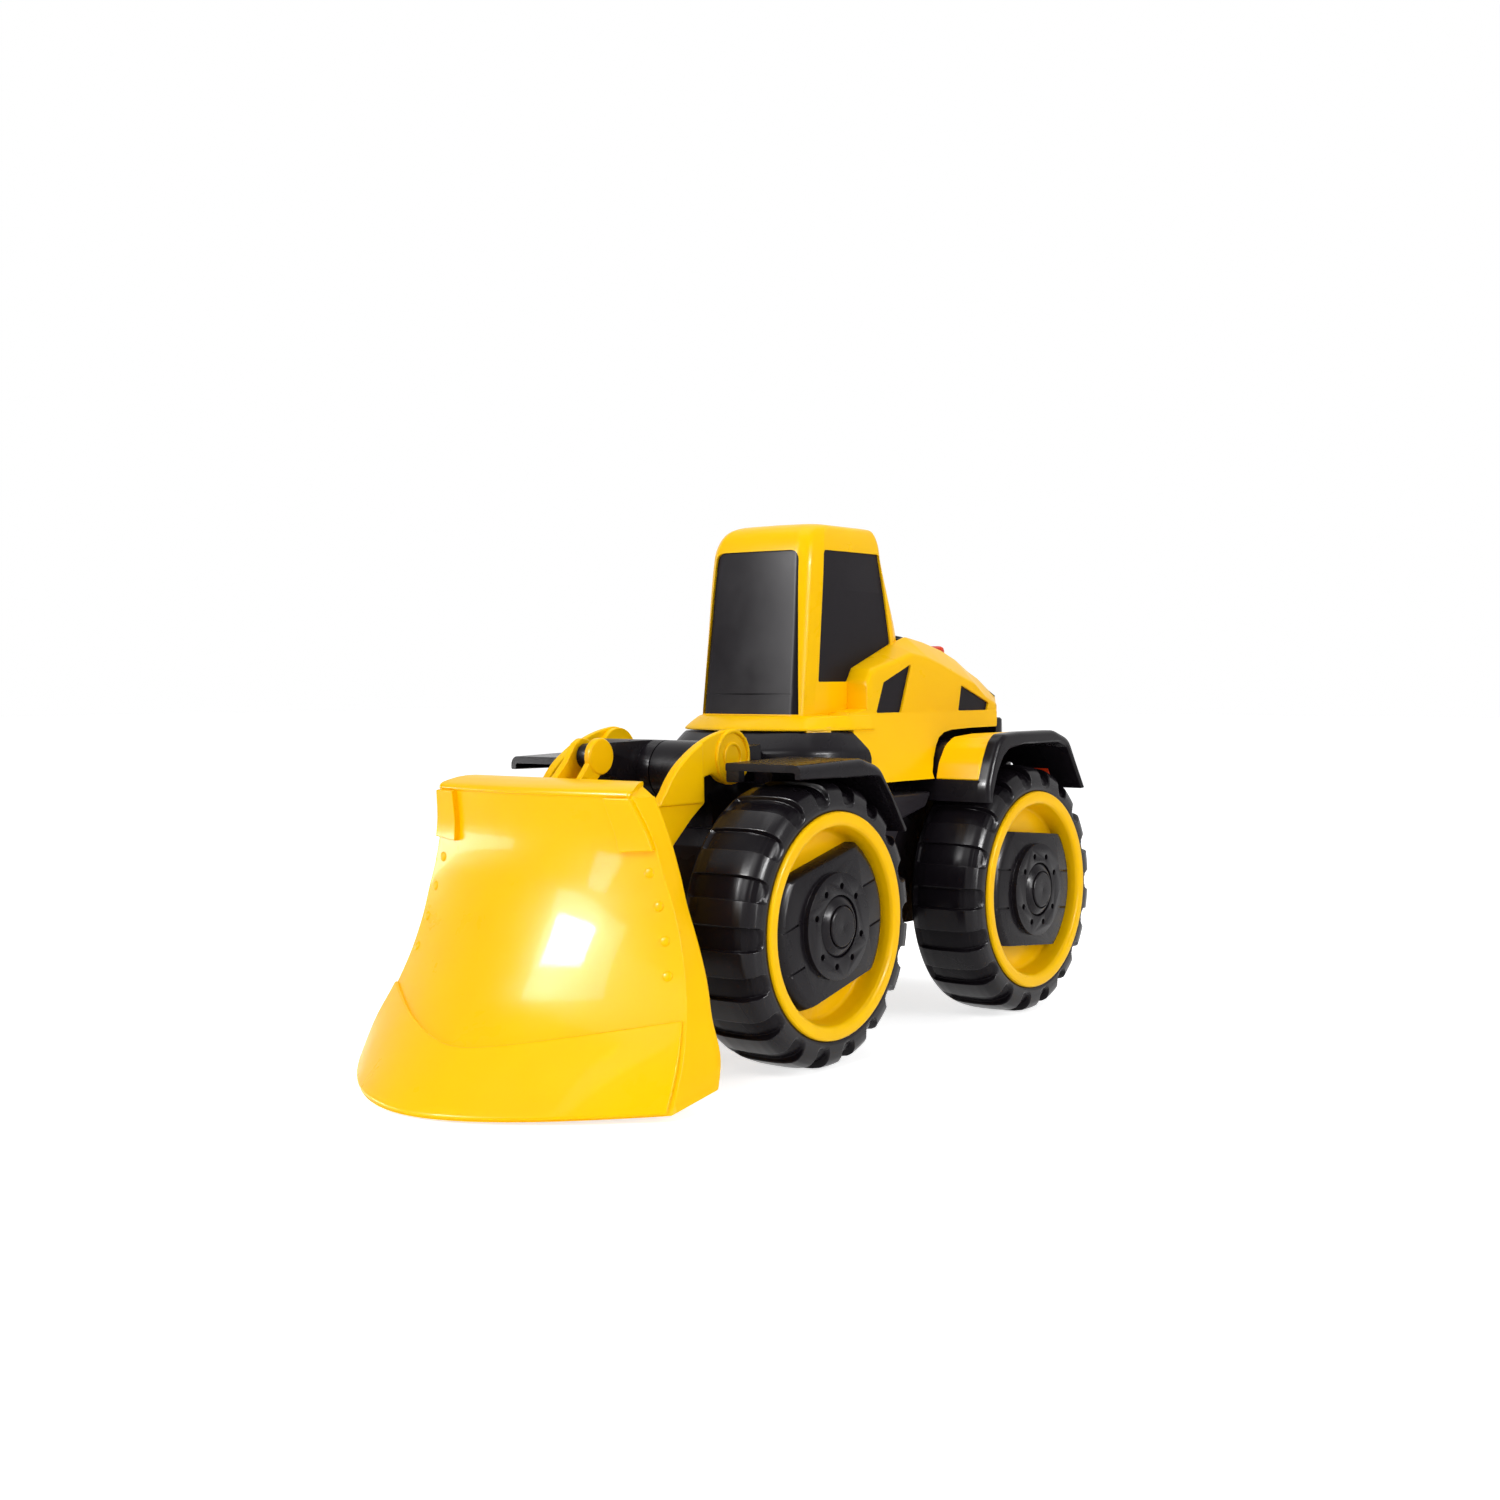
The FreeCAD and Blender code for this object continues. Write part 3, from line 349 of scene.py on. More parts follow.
def resample(line, count):
    """The polyline as count points evenly spaced along it."""
    points = [Vector(point) for point in line]
    reach = distances(points)
    result, k = [], 0
    for i in range(count):
        goal = reach[-1] * i / (count - 1)
        while k < len(reach) - 2 and reach[k + 1] < goal:
            k += 1
        span = reach[k + 1] - reach[k]
        result.append(points[k].lerp(points[k + 1], (goal - reach[k]) / span if span else 0))
    return result


def interpolate(rows, key):
    """Smooth curve through rows of numbers; the first number of each row is the key."""
    key = min(max(key, rows[0][0]), rows[-1][0])
    i = max(i for i in range(len(rows) - 1) if rows[i][0] <= key)
    low, high = rows[i], rows[i + 1]
    h = high[0] - low[0]
    t = (key - low[0]) / h

    def slope(j, k):
        a, b = max(j - 1, 0), min(j + 1, len(rows) - 1)
        return (rows[b][k] - rows[a][k]) / (rows[b][0] - rows[a][0]) * h
    return [(2 * t**3 - 3 * t**2 + 1) * low[k] + (t**3 - 2 * t**2 + t) * slope(i, k)
            + (3 * t**2 - 2 * t**3) * high[k] + (t**3 - t**2) * slope(i + 1, k)
            for k in range(1, len(low))]


def loft(name, rows, weld=1e-7, cap=True):
    """Closed solid through rings of points that are given in millimetres."""
    bm = bmesh.new()
    sheet(bm, [[at(*p) for p in row] for row in rows], wrap=True, cap=cap)
    return new_piece(name, bm, weld)


def prism(name, outline, x0, x1, width=0.0, segments=3, angle=40):
    """Solid between x0 and x1 whose side view is the outline of (y, z), with rounded edges."""
    piece = loft(name, [[(x, p[0], p[1]) for p in outline] for x in (x0, x1)])
    if width:
        round_edges(piece, width, segments, angle)
    return piece


def span(side, inner, outer):
    """The two x of a stretch on one side of the toy, the lower one first."""
    return sorted((side * inner, side * outer))


def toward(a, b, share):
    """Point of the plane that is a share of the way from a to b."""
    return a[0] + (b[0] - a[0]) * share, a[1] + (b[1] - a[1]) * share


def circle(cy, cz, radius, count):
    """Points evenly spaced round a circle."""
    angles = [2 * math.pi * k / count for k in range(count)]
    return [(cy + radius * math.cos(a), cz + radius * math.sin(a)) for a in angles]


def arc(cy, cz, radius, start, stop, steps):
    """Points of an arc in the (y, z) plane, angles in degrees from +y."""
    angles = [math.radians(start + (stop - start) * k / steps) for k in range(steps + 1)]
    return [(cy + radius * math.cos(a), cz + radius * math.sin(a)) for a in angles]


# ---- wheels
def around(axle_y, side, x, radius, angle):
    """Point at a radius round an axle, in millimetres, with the angle in radians."""
    return side * x, axle_y + radius * math.cos(angle), TYRE_RADIUS + radius * math.sin(angle)


def smoothstep(value, low, high):
    """0 up to low, 1 from high on, and a smooth step between."""
    t = min(max((value - low) / (high - low), 0), 1)
    return t * t * (3 - 2 * t)


TYRE_PROFILE = [
    (38.2, 41.8), (38, 44), (38, 47.4), (38.5, 49.7), (39.8, 51.3), (42.5, 52.3), (46.5, 52.85), (52, 53),
    (58, 52.95), (62, 52.7), (65.4, 52.1), (67.7, 50.9), (69.2, 48.8), (69.8, 46.2), (69.9, 43.4),
    (69.4, 41.8)]
PITCHES = 18
POCKET_HALF, POCKET_WALL, POCKET_DEPTH, POCKET_CORNER = 4.4, 0.22, 1.6, 3.0
POCKET_START, POCKET_STOP = 40.6, 44.8  # x of the inner end, radius of the outer end on the sidewall


def tyre(wheel, axle_y, side):
    """Barrel tyre with a rounded recess across it at every pitch, which ends in the outer sidewall."""
    line = resample(eased(TYRE_PROFILE, 2.5, 4), 66)
    reach = distances(line)
    start = next(s for s, p in zip(reach, line) if p.x >= POCKET_START and p.y > 50)
    stop = next(s for s, p in zip(reach, line) if p.x > 60 and p.y <= POCKET_STOP)
    shoulder = next(s for s, p in zip(reach, line) if p.x >= 66)
    middle, half = (start + stop) / 2, (stop - start) / 2
    pitch = 2 * math.pi / PITCHES
    fine = [0, 0.3, 0.6, 0.78, 0.86, 0.9, 0.94, 0.97, 1.0, 1.03, 1.06, 1.1, 1.14, 1.25]
    offsets = {sign * f * POCKET_HALF / TYRE_RADIUS for f in fine for sign in (-1, 1)}
    offsets = sorted(offsets | {0.035 - pitch / 2, pitch / 2 - 0.035, pitch / 2})
    rows, recess = [], []
    for angle in [pitch * k + o for k in range(PITCHES) for o in offsets]:
        u = abs((angle + pitch / 2) % pitch - pitch / 2) * TYRE_RADIUS
        row = []
        for i, point in enumerate(line):
            tangent = (line[min(i + 1, len(line) - 1)] - line[max(i - 1, 0)]).normalized()
            normal = Vector((-tangent.y, tangent.x))
            corner = POCKET_CORNER if reach[i] > middle else 1.2
            qx, qy = u - POCKET_HALF + corner, abs(reach[i] - middle) - half + corner
            outside = math.hypot(max(qx, 0), max(qy, 0)) + min(max(qx, qy), 0) - corner
            recess.append(1 - smoothstep(outside, -POCKET_WALL, POCKET_WALL))
            depth = POCKET_DEPTH * recess[-1]
            depth *= (1 + 0.6 * math.exp(-((reach[i] - shoulder) / 5) ** 2)
                      - 0.3 * smoothstep(reach[i], stop - 5, stop))
            x, r = point.x - normal.x * depth, point.y - normal.y * depth
            row.append(at(*around(axle_y, side, x, r, angle)))
        rows.append(row)
    bm = bmesh.new()
    # Recess share at each point; the tyre material darkens the recesses by it, as painted shade.
    layer = bm.verts.layers.float.new("recess")
    for k, verts in enumerate(sheet(bm, rows + [rows[0]])):
        for i, vert in enumerate(verts):
            vert[layer] = recess[(k % len(rows)) * len(line) + i]
    bmesh.ops.remove_doubles(bm, verts=bm.verts, dist=1e-7)
    bmesh.ops.bridge_loops(bm, edges=[e for e in bm.edges if e.is_boundary])
    stand_for(new_piece(f"{wheel}_tyre_tread", bm), f"{wheel}_tyre")


def lathe(name, profile, radius, steps, axle_y, side, segments):
    """Closed profile of (x, radius) with rounded corners, turned about the axle."""
    line = rounded(profile, radius, steps)
    return loft(name, [[around(axle_y, side, x, r, 2 * math.pi * k / segments) for x, r in line]
                       for k in range(segments + 1)], cap=False)


RIM_PROFILE = [
    (38.2, 41.9), (69.6, 41.9), (70.6, 41.7), (71, 40.9), (71, 39), (70.9, 37.9), (70.3, 36.9),
    (69.3, 36.4), (66, 36), (61.8, 35.2), (61, 34.2), (61, 9), (61, 3.1), (37.2, 3.1), (37.2, 7.9),
    (57.6, 8), (58.5, 9), (58.5, 36.6), (57.6, 37.9), (38.4, 39.4)]
RIM_ROUNDING = [0.4, 0.2, 0.8, 1.2, 1.5, 1.5, 1.2, 1, 1, 1.5, 1.5, 0, 0.2, 0.2, 0.8, 1.5, 1.5, 1.5, 1.5, 0.4]
CAP_PROFILE = [
    (70.1, 0.01), (73, 0.01), (73, 6.9), (72.75, 7.35), (71.6, 7.5), (71.6, 7.85), (72.5, 8.05),
    (72.35, 8.6), (71.7, 9.6), (70.9, 10.7), (70.2, 11.35), (69.9, 11.45), (69.9, 9)]
# The hub bars' rounded outer ends.
BAR_END = [(50, 36), (64.6, 34.6), (66.4, 33.7), (67.8, 32.3), (68.7, 30.7), (69.1, 29.2), (72, 29)]


def wheels():
    for end, axle_y in (("front", 0.0), ("rear", WHEELBASE)):
        for side_name, side in SIDES.items():
            wheel = f"{end}_{side_name}"
            tyre(wheel, axle_y, side)
            stand_for(lathe(f"{wheel}_rim_ring", RIM_PROFILE, RIM_ROUNDING, 4, axle_y, side, 144),
                      f"{wheel}_rim")
            bar = softened(f"{wheel}_hub_bar", 0.5)
            if wheel == "rear_left":
                axle = Matrix.Translation(at(0, axle_y, TYRE_RADIUS))
                bar.data.transform(axle @ Matrix.Rotation(math.radians(-5), 4, "X") @ axle.inverted())
            limit = [[around(axle_y, side, x, r, math.pi * k / 48) for k in range(96)] for x, r in BAR_END]
            boolean(bar, loft("limit", limit), "INTERSECT")
            stand_for(shade_by_angle(bar, 32), f"{wheel}_hub_bar")
            cap = lathe(f"{wheel}_hub_boss", CAP_PROFILE, 0.3, 3, axle_y, side, 96)
            stand_for(cap, f"{wheel}_hub_cap")


# ---- blade
# Height, half width, y at the ends, y at the middle, wall, x and y of the returns' rear edge.
BLADE_ROWS = [
    (0.2, 74.4, -100.8, -145.9, 5, 76.3, -79.2), (17, 73.2, -93, -125.6, 4.4, 75.3, -75),
    (30, 69.8, -86.6, -112, 3.8, 70.9, -74), (42, 66.2, -82.6, -104, 3.4, 66.6, -71.4),
    (55, 62.4, -80.3, -97, 3, 61.1, -69.7), (66, 59.1, -79.9, -92, 3, 57, -69.8),
    (77, 55.1, -80.2, -88.6, 3, 54.2, -70.3), (90, 51.1, -81.4, -88, 3, 51.4, -72.5),
    (103.4, 46.5, -86, -91, 3, 47.6, -75.7)]
BLADE_TOP, BLADE_EDGE = 103.4, 0.985  # height of the face; u of the ends of its lip and plates
TOP_PLATE_NOSE = [
    (0.9, 101.9), (0.9, 103.1), (0.1, 103.15), (-0.4, 103.4), (-0.7, 103.9), (-0.6, 104.6), (-0.1, 105.3),
    (1.0, 105.9)]
BLADE_LOW = [(-153, 0.3), (-136, 1.1), (-99, 2.4), (-90, 3.3), (-84, 4.2), (-80.5, 5.4), (-78, 8), (-60, 18)]


def underside(y):
    """Height of the blade's lower edge, which rises towards the ends."""
    for (y0, z0), (y1, z1) in zip(BLADE_LOW, BLADE_LOW[1:]):
        if y <= y1:
            return z0 + (z1 - z0) * (y - y0) / (y1 - y0)
    return BLADE_LOW[-1][1]


def face(u, z, lift=0.0):
    """Point of the blade's front, u from -1 to 1 across it, moved out of the surface by lift."""
    def point(u, z):
        half, end, middle = interpolate(BLADE_ROWS, z)[:3]
        return Vector((half * u, middle + (end - middle) * (1.14 * u * u - 0.14 * u**4), z))
    here = point(u, z)
    if lift:
        across, up = point(u + 0.01, z) - point(u - 0.01, z), point(u, z + 0.5) - point(u, z - 0.5)
        here += lift * across.cross(up).normalized()
    return here


def blade_loop(t):
    """Closed outline of the blade's curved wall at the share t of its height."""
    points = []
    for k in range(73):
        u = -1 + 2 * k / 72
        z = 1 + 102.4 * t
        for _ in range(3):
            low = underside(face(u, z).y)
            z = low + (BLADE_TOP - low) * t
        points.append(face(u, z))
    z_end = points[-1].z
    half, end, middle, wall, rear_x, rear_y = interpolate(BLADE_ROWS, z_end)
    low = underside(rear_y)
    z_rear = low + (BLADE_TOP - low) * t
    rear_x, rear_y = interpolate(BLADE_ROWS, z_rear)[4:]
    outer, inner = Vector((half, end, z_end)), Vector((half - wall, end + wall, z_end))
    rear, inner_rear = Vector((rear_x, rear_y, z_rear)), Vector((rear_x - 2.6, rear_y, z_rear))
    right = [outer.lerp(rear, s) for s in (0.12, 0.35, 0.6, 0.85, 0.96)]
    right += [rear + Vector((-0.5, 0.35, 0)), inner_rear + Vector((0.5, 0.35, 0))]
    right += [inner_rear.lerp(inner, s) for s in (0.04, 0.5, 0.95)]
    back = []
    for k in range(1, 36):
        z = points[72 - 2 * k].z
        spot = face((1 - 2 * k / 36) * (half - wall) / half, z)
        back.append(Vector((spot.x, spot.y + wall, z)))
    return points + right + back + [Vector((-p.x, p.y, p.z)) for p in reversed(right)]


def slab(name, place, rows, columns, lift, width):
    """Raised plate on the blade's front; place gives (u, z) for the shares of its height and length."""
    grid = [[place(i / rows, j / columns) for j in range(columns + 1)] for i in range(rows + 1)]
    bm = bmesh.new()
    loops = []
    for height in (lift, -0.6):
        verts = sheet(bm, [[at(*face(u, z, height)) for u, z in line] for line in grid])
        loops.append(verts[0] + [row[-1] for row in verts[1:]] + verts[-1][-2::-1]
                     + [row[0] for row in verts[-2:0:-1]])
    a, b = loops
    for i in range(len(a)):
        j = (i + 1) % len(a)
        bm.faces.new((a[i], a[j], b[j], b[i]))
    piece = new_piece(name, bm)
    round_edges(piece, width, 3, 40)
    return piece


def corners(*points):
    """Bilinear map of the unit square to four corners of (u, z), in the order round it."""
    c00, c01, c11, c10 = (Vector(point) for point in points)
    return lambda s, t: c00.lerp(c01, t).lerp(c10.lerp(c11, t), s)


def lip_line(u):
    """Height of the crease between the blade's face and its lower lip."""
    return 19.2 + 13.3 * (math.sqrt(u * u + 0.02) - 0.12)


def rivet(u, z):
    """Low round-headed rivet on the blade's front."""
    radius, height = 1.7, 0.9
    top = face(u, z)
    normal = (face(u, z, 1) - top).normalized()
    across = normal.cross(Vector((0, 0, 1))).normalized()
    up = across.cross(normal)
    rings = []
    for share, lift in ((1.12, -0.3), (1.08, 0.05), (0.98, 0.4), (0.8, 0.68), (0.5, 0.86), (0.2, 0.95)):
        reach, rise = share * radius, normal * lift * height
        rings.append([top + reach * (a * across + b * up) + rise for a, b in circle(0, 0, 1, 20)])
    return loft("rivet", rings, weld=0)


def blade():
    levels = [0, 0.01, 0.03] + [0.06 + 0.92 * k / 46 for k in range(47)] + [0.99, 1]
    shell = loft("shell", [blade_loop(t) for t in levels], weld=0)
    round_edges(shell, 0.7, 3, 42)

    def lip_place(s, t):
        u = -BLADE_EDGE + 2 * BLADE_EDGE * t
        return u, lip_bottom(u) + s * (lip_line(u) - lip_bottom(u))
    parts = [shell, slab("lip", lip_place, 14, 80, 1.3, 0.9)]
    for side in (-1, 1):
        pad = corners((side * 0.74, 84.6), (side * BLADE_EDGE, 85.6), (side * BLADE_EDGE, BLADE_TOP),
                      (side * 0.77, BLADE_TOP))
        parts.append(slab("pad", pad, 12, 14, 2.2, 0.4))
        parts += [rivet(side * u, z) for u, z in ((0.905, 78), (0.915, 67), (0.92, 55.7), (0.92, 44.5))]
    parts += [top_plate(), gusset(1), gusset(-1), *fork(), *hinge_lugs()]
    mould("blade", parts)


def lip_bottom(u):
    """Height of the lower lip's lower edge."""
    z = 4
    for _ in range(3):
        z = underside(face(u, z).y)
    return z + 0.35


def top_plate():
    """Plate with a rounded nose that slopes up and back from the top of the blade's face."""
    rows = []
    for k in range(49):
        t = -1 + 2 * k / 48
        front, rear = face(t * BLADE_EDGE, 103.3), Vector((40.3 * t, -73.6, 108.2))
        row = [Vector((front.x, front.y + y, z)) for y, z in TOP_PLATE_NOSE]
        row += [row[-1].lerp(rear, s) + Vector((0, 0, 0.7 * math.sin(math.pi * s)))
                for s in (0.2, 0.45, 0.7, 0.9)]
        row += [rear, Vector((rear.x, rear.y + 0.3, 107.4)), Vector((rear.x, rear.y, 105.6)),
                Vector(((front.x + rear.x) / 2, (front.y + rear.y) / 2, 102.6))]
        rows.append(row)
    return shade_by_angle(loft("top_plate", rows, weld=0), 50)


def gusset(side):
    """Sloping corner between the top plate and the return."""
    top = [(38.5, -73.8, 107.9), (44.6, -87.4, 105.4), (46.4, -85.8, 103.4), (47.5, -76, 103.4)]
    piece = loft("gusset", [[(side * x, y, z) for x, y, z in top], [(side * x, y, 98) for x, y, _ in top]],
                 weld=0)
    round_edges(piece, 0.5, 3, 20)
    return piece


def fork():
    """Fork on the blade's back: a web, a plate and a round boss with the gap for the link between."""
    plate = ([(-77, 104), (-73, 106.6), (-69.6, 109.2), (-65, 113.6), (-60.5, 120)]
             + arc(*FORK_EYE, 6.5, 105, -90, 18) + [(-62, 104), (-66.5, 102)])
    arm = [(-74, 104), (-67.5, 107), (-62.4, 113), (-58, 116), (-54, 110), (-62, 103.5), (-66.5, 101.5)]
    web = [(-84, 96), (-84, 104), (-74, 108), (-70, 107.5), (-66, 103), (-67.5, 97)]
    return [prism("web", web, -5.6, 5.6, 0.6, 3, 30),
            prism("plate", plate, -5.6, -2.9, 0.6),
            prism("boss_plate", arm, 2.9, 5.4, 0.6, 3, 25),
            prism("boss", arc(*FORK_EYE, 6.7, 0, 350, 35), 2.9, 5.9, 0.9, 4),
            prism("pin_head", arc(*FORK_EYE, 3.4, 0, 350, 30), -6.1, -5.2, 0.3, 2)]


def hinge_lugs():
    """Lugs each side of both arms that hold the hinge pin."""
    hy, hz = HINGE
    parts = []
    for side in (-1, 1):
        for inner, outer, upper_y, lower_y in ((18.8, 24.4, -84.9, -92), (32.3, 37.5, -82.2, -88.5)):
            lug = [(upper_y, 80), (hy, hz + 7.5), *arc(hy, hz, 7.5, 80, -80, 12), (hy, hz - 7.5),
                   (lower_y, 50)]
            parts.append(prism("lug", lug, *span(side, inner, outer), 0.6))
    return parts


# ---- cab, body and turret
def mirrored(half):
    """Whole outline from a half one that starts and ends on the mid-plane."""
    return half + [(-x, y) for x, y in half[-2:0:-1]]


def ring(half, radii):
    """Outline mirrored from its half, with as many points at every corner, so that rows of rings join up."""
    points, radii = mirrored(half), radii + radii[-2:0:-1]
    line = []
    for i, radius in enumerate(radii):
        corner, before, after, turn = corner_at(points, i)
        cut = radius * math.tan(min(turn, 2.6) / 2)
        start, end = (corner + way.normalized() * min(cut, 0.46 * way.length) for way in (before, after))
        line += bend(start, corner, end, 4)
    return line


def boolean(piece, tool, operation="DIFFERENCE"):
    """Cut, join or keep the common part of two solids, and remove the tool."""
    modifier = piece.modifiers.new("boolean", "BOOLEAN")
    modifier.operation, modifier.object = operation, tool
    modifier.solver, modifier.use_self = "EXACT", True
    apply_modifiers(piece)
    bpy.data.objects.remove(tool)


def shade_by_angle(piece, angle=30):
    """Keep a piece's shading crisp at edges sharper than the angle."""
    piece.data.set_sharp_from_angle(angle=math.radians(angle))
    return piece


def side_prism(name, outline, x0, x1, radius=0.0):
    """Prism across the toy whose outline of (y, z) may have rounded corners."""
    return prism(name, rounded(outline, radius, 4), x0, x1)


def plan_prism(name, outline, z0, z1):
    """Upright prism whose plan view is the outline of (x, y)."""
    return loft(name, [[(x, y, z) for x, y in outline] for z in (z0, z1)])


def front_prism(name, outline, y0, y1, radius=0.0):
    """Prism along the toy whose outline of (x, z) may have rounded corners."""
    return loft(name, [[(x, y, z) for x, z in rounded(outline, radius)] for y in (y0, y1)])


# Height, then x and y of the half outline from the middle of the windshield to the middle of the back.
CAB_ROWS = [
    (128.3, 0, 36.6, 22.5, 37.6, 25.2, 40.6, 25.8, 48, 24.5, 108, 21.5, 115.5, 0, 116),
    (160, 0, 40, 21.6, 41, 24.9, 44, 25.8, 51.5, 23.8, 109, 21.3, 115.3, 0, 116),
    (192, 0, 43.6, 20.2, 44.4, 24.3, 47.2, 25.6, 55, 22.6, 101.4, 19.4, 103.4, 0, 103.8),
    (199, 0, 45.6, 19.3, 46.6, 23.2, 49.6, 24.6, 56.6, 21.8, 100.6, 18.8, 102.7, 0, 103),
    (203.4, 0, 49.5, 17.6, 50.6, 21.4, 53.6, 22.6, 59.4, 20.4, 99.6, 17.6, 101.6, 0, 102),
    (205.2, 0, 54.6, 15.4, 55.6, 18.8, 58.4, 20.2, 62.6, 18.8, 98.4, 16.6, 100.4, 0, 100.8),
    (205.8, 0, 59, 12.6, 60, 15.6, 62, 16.8, 66, 16, 97, 14.4, 98.8, 0, 99.2)]
SIDE_WINDOW = [(55.3, 194.7), (99.6, 195), (106.5, 157.8), (76.3, 147.4), (72.4, 141.9), (51, 141.9)]
WINDSHIELD = [(-24.2, 129), (24.2, 129), (20.6, 194.4), (-20.6, 194.4)]
REAR_WINDOW = [(-17, 167), (17, 167), (15, 190), (-15, 190)]
CAB_FOOT, CAB_BEND, CAB_TOP = 128.3, 192, 205.8  # the walls bend into the roof above CAB_BEND


def cab_solid(name, inset=0.0, top=CAB_TOP, bottom=CAB_FOOT):
    """The cab's outer form, or a smaller one inside it, between two heights."""
    rows = []
    heights = [bottom + (CAB_BEND - bottom) * k / 10 for k in range(11)]
    heights += [CAB_BEND + (top - CAB_BEND) * math.sin(math.pi / 2 * k / 12) for k in range(1, 13)]
    for z in heights:
        values = interpolate(CAB_ROWS, z)
        half = [(max(x - inset, 0) if x else 0, y + inset if y < 76 else y - inset)
                for x, y in zip(values[::2], values[1::2])]
        rows.append([(p.x, p.y, z) for p in ring(half, [0, 3.2, 5, 3.2, 5, 4, 0])])
    return loft(name, rows)


def cab():
    """Cab shell with its openings, and the window panels let into it a little below its surface."""
    shell = cab_solid("cab_moulding")
    boolean(shell, cab_solid("core", inset=2.2, top=203.4, bottom=128.2))
    radii = [2.2, 1.5, 1, 1.5, 1.5, 0.8]
    windows = {"windshield": (front_prism, WINDSHIELD, 30, 49, [0, 0, 4.5, 4.5]),
               "rear_window": (front_prism, REAR_WINDOW, 95, 120, 2),
               "side_window_left": (side_prism, SIDE_WINDOW, 20.2, 30, radii),
               "side_window_right": (side_prism, SIDE_WINDOW, -30, -20.2, radii)}
    for node, (make, *form) in windows.items():
        boolean(shell, make("tool", *form))
        glass = cab_solid(node, inset=0.75, top=203)
        boolean(glass, cab_solid("core", inset=3.4, top=199))
        boolean(glass, make("tool", *form), "INTERSECT")
        if node == "windshield":
            groove = [(-23, 136.7), (23, 136.7), (23, 137.3), (-23, 137.3)]
            boolean(glass, front_prism("groove", groove, 30, interpolate(CAB_ROWS, 137)[1] + 1.9))
        glass.name = f"{node}_panel"
        stand_for(shade_by_angle(glass), node)
    stand_for(shade_by_angle(shell), "cab_shell")


# y, height of the ridge, height and half width of the side's top edge.
BODY_STATIONS = [
    (72, 131, 131, 35), (72.2, 142, 141.8, 35), (76, 147.6, 147, 35), (107, 157.8, 153.8, 35),
    (118, 161, 152.2, 35), (131.5, 159, 148.6, 35), (147, 155.6, 143.7, 35), (158, 151.9, 140.6, 35),
    (168, 147.2, 134.5, 35), (177, 143.8, 131.4, 34.8), (194, 136, 130.2, 24.4)]
VENTS = {"front": [(78.8, 129.1), (97.5, 129.1), (105.3, 149.3), (84.2, 141.6)],
         "rear": [(143.2, 129.1), (168, 129.1), (169.4, 132.4), (145.8, 140.3)]}
LIP_OUTLINE = [
    (0, 24), (7, 25), (14, 27.5), (22, 30.8), (30, 35), (33.4, 40.5), (35.2, 47), (37, 53), (38, 58.5),
    (38.2, 66)]
LIP_CREST = [
    (0, 32.5), (7, 33), (13, 34), (20, 37), (26, 41), (29, 45.2), (31, 50), (33.4, 54.5), (35, 58.5),
    (35.2, 66)]


def stations():
    """Body stations with the corners between them eased."""
    line = [BODY_STATIONS[0]]
    for before, here, after in zip(BODY_STATIONS, BODY_STATIONS[1:], BODY_STATIONS[2:]):
        start, end = ([h + (o - h) * min(0.45, 1.6 / max(math.dist(here[:2], other[:2]), 0.1))
                       for h, o in zip(here, other)] for other in (before, after))
        line += zip(*(bend(s, h, e, 5) for s, h, e in zip(start, here, end)))
    return line + [BODY_STATIONS[-1]]


def body_ring(y, ridge, side_z, side_x, inset=0.0, bottom=101.5):
    """Section of the body at y, with flared lower walls."""
    flare = 10.5 * (129 - bottom) / 27.5
    ridge, side_x = ridge - inset, side_x - inset
    side_z = max(side_z - 0.6 * inset, 129.3)
    half = [(0, bottom), (side_x + flare, bottom), (side_x, 129), (side_x, side_z), (24 - inset, ridge),
            (0, ridge)]
    step = side_z - 129
    return [(p.x, y, p.y) for p in ring(half, [0, 0, min(3, step), min(2.6, step), 4, 0])]


def body_solid(name, inset, front, rear, bottom):
    """The body's outer form or a smaller one; one that starts before y = 60 has the low front part too."""
    rows = []
    if front <= 60:
        rows = [body_ring(y, 129.5, 129.5, 35, inset, bottom) for y in (front, 60.5)]
    rows += [body_ring(min(max(s[0], front), rear), *s[1:], inset, bottom) for s in stations()]
    return loft(name, rows)


def lip():
    """Rounded shelf in front of the cab, thin at its edge and domed above."""
    rows = []
    for z, t, shrink in ((122.5, 0, 0.7), (122.8, 0, 0), (123.3, 0, 0), (123.8, 0.05, 0), (125, 0.25, 0),
                         (126.4, 0.5, 0), (127.6, 0.74, 0), (128.3, 0.9, 0), (128.6, 1, 0.4), (128.65, 1, 2)):
        half = [toward(a, b, t) for a, b in zip(LIP_OUTLINE, LIP_CREST)]
        half = [(x - (shrink if x else 0), y + shrink) for x, y in half]
        line, x_end = resample(half, 30), half[-1][0]
        rows.append([(p.x, p.y, z) for p in line] + [(x_end, 73, z), (-x_end, 73, z)]
                    + [(-p.x, p.y, z) for p in reversed(line[1:])])
    return loft("lip", rows)


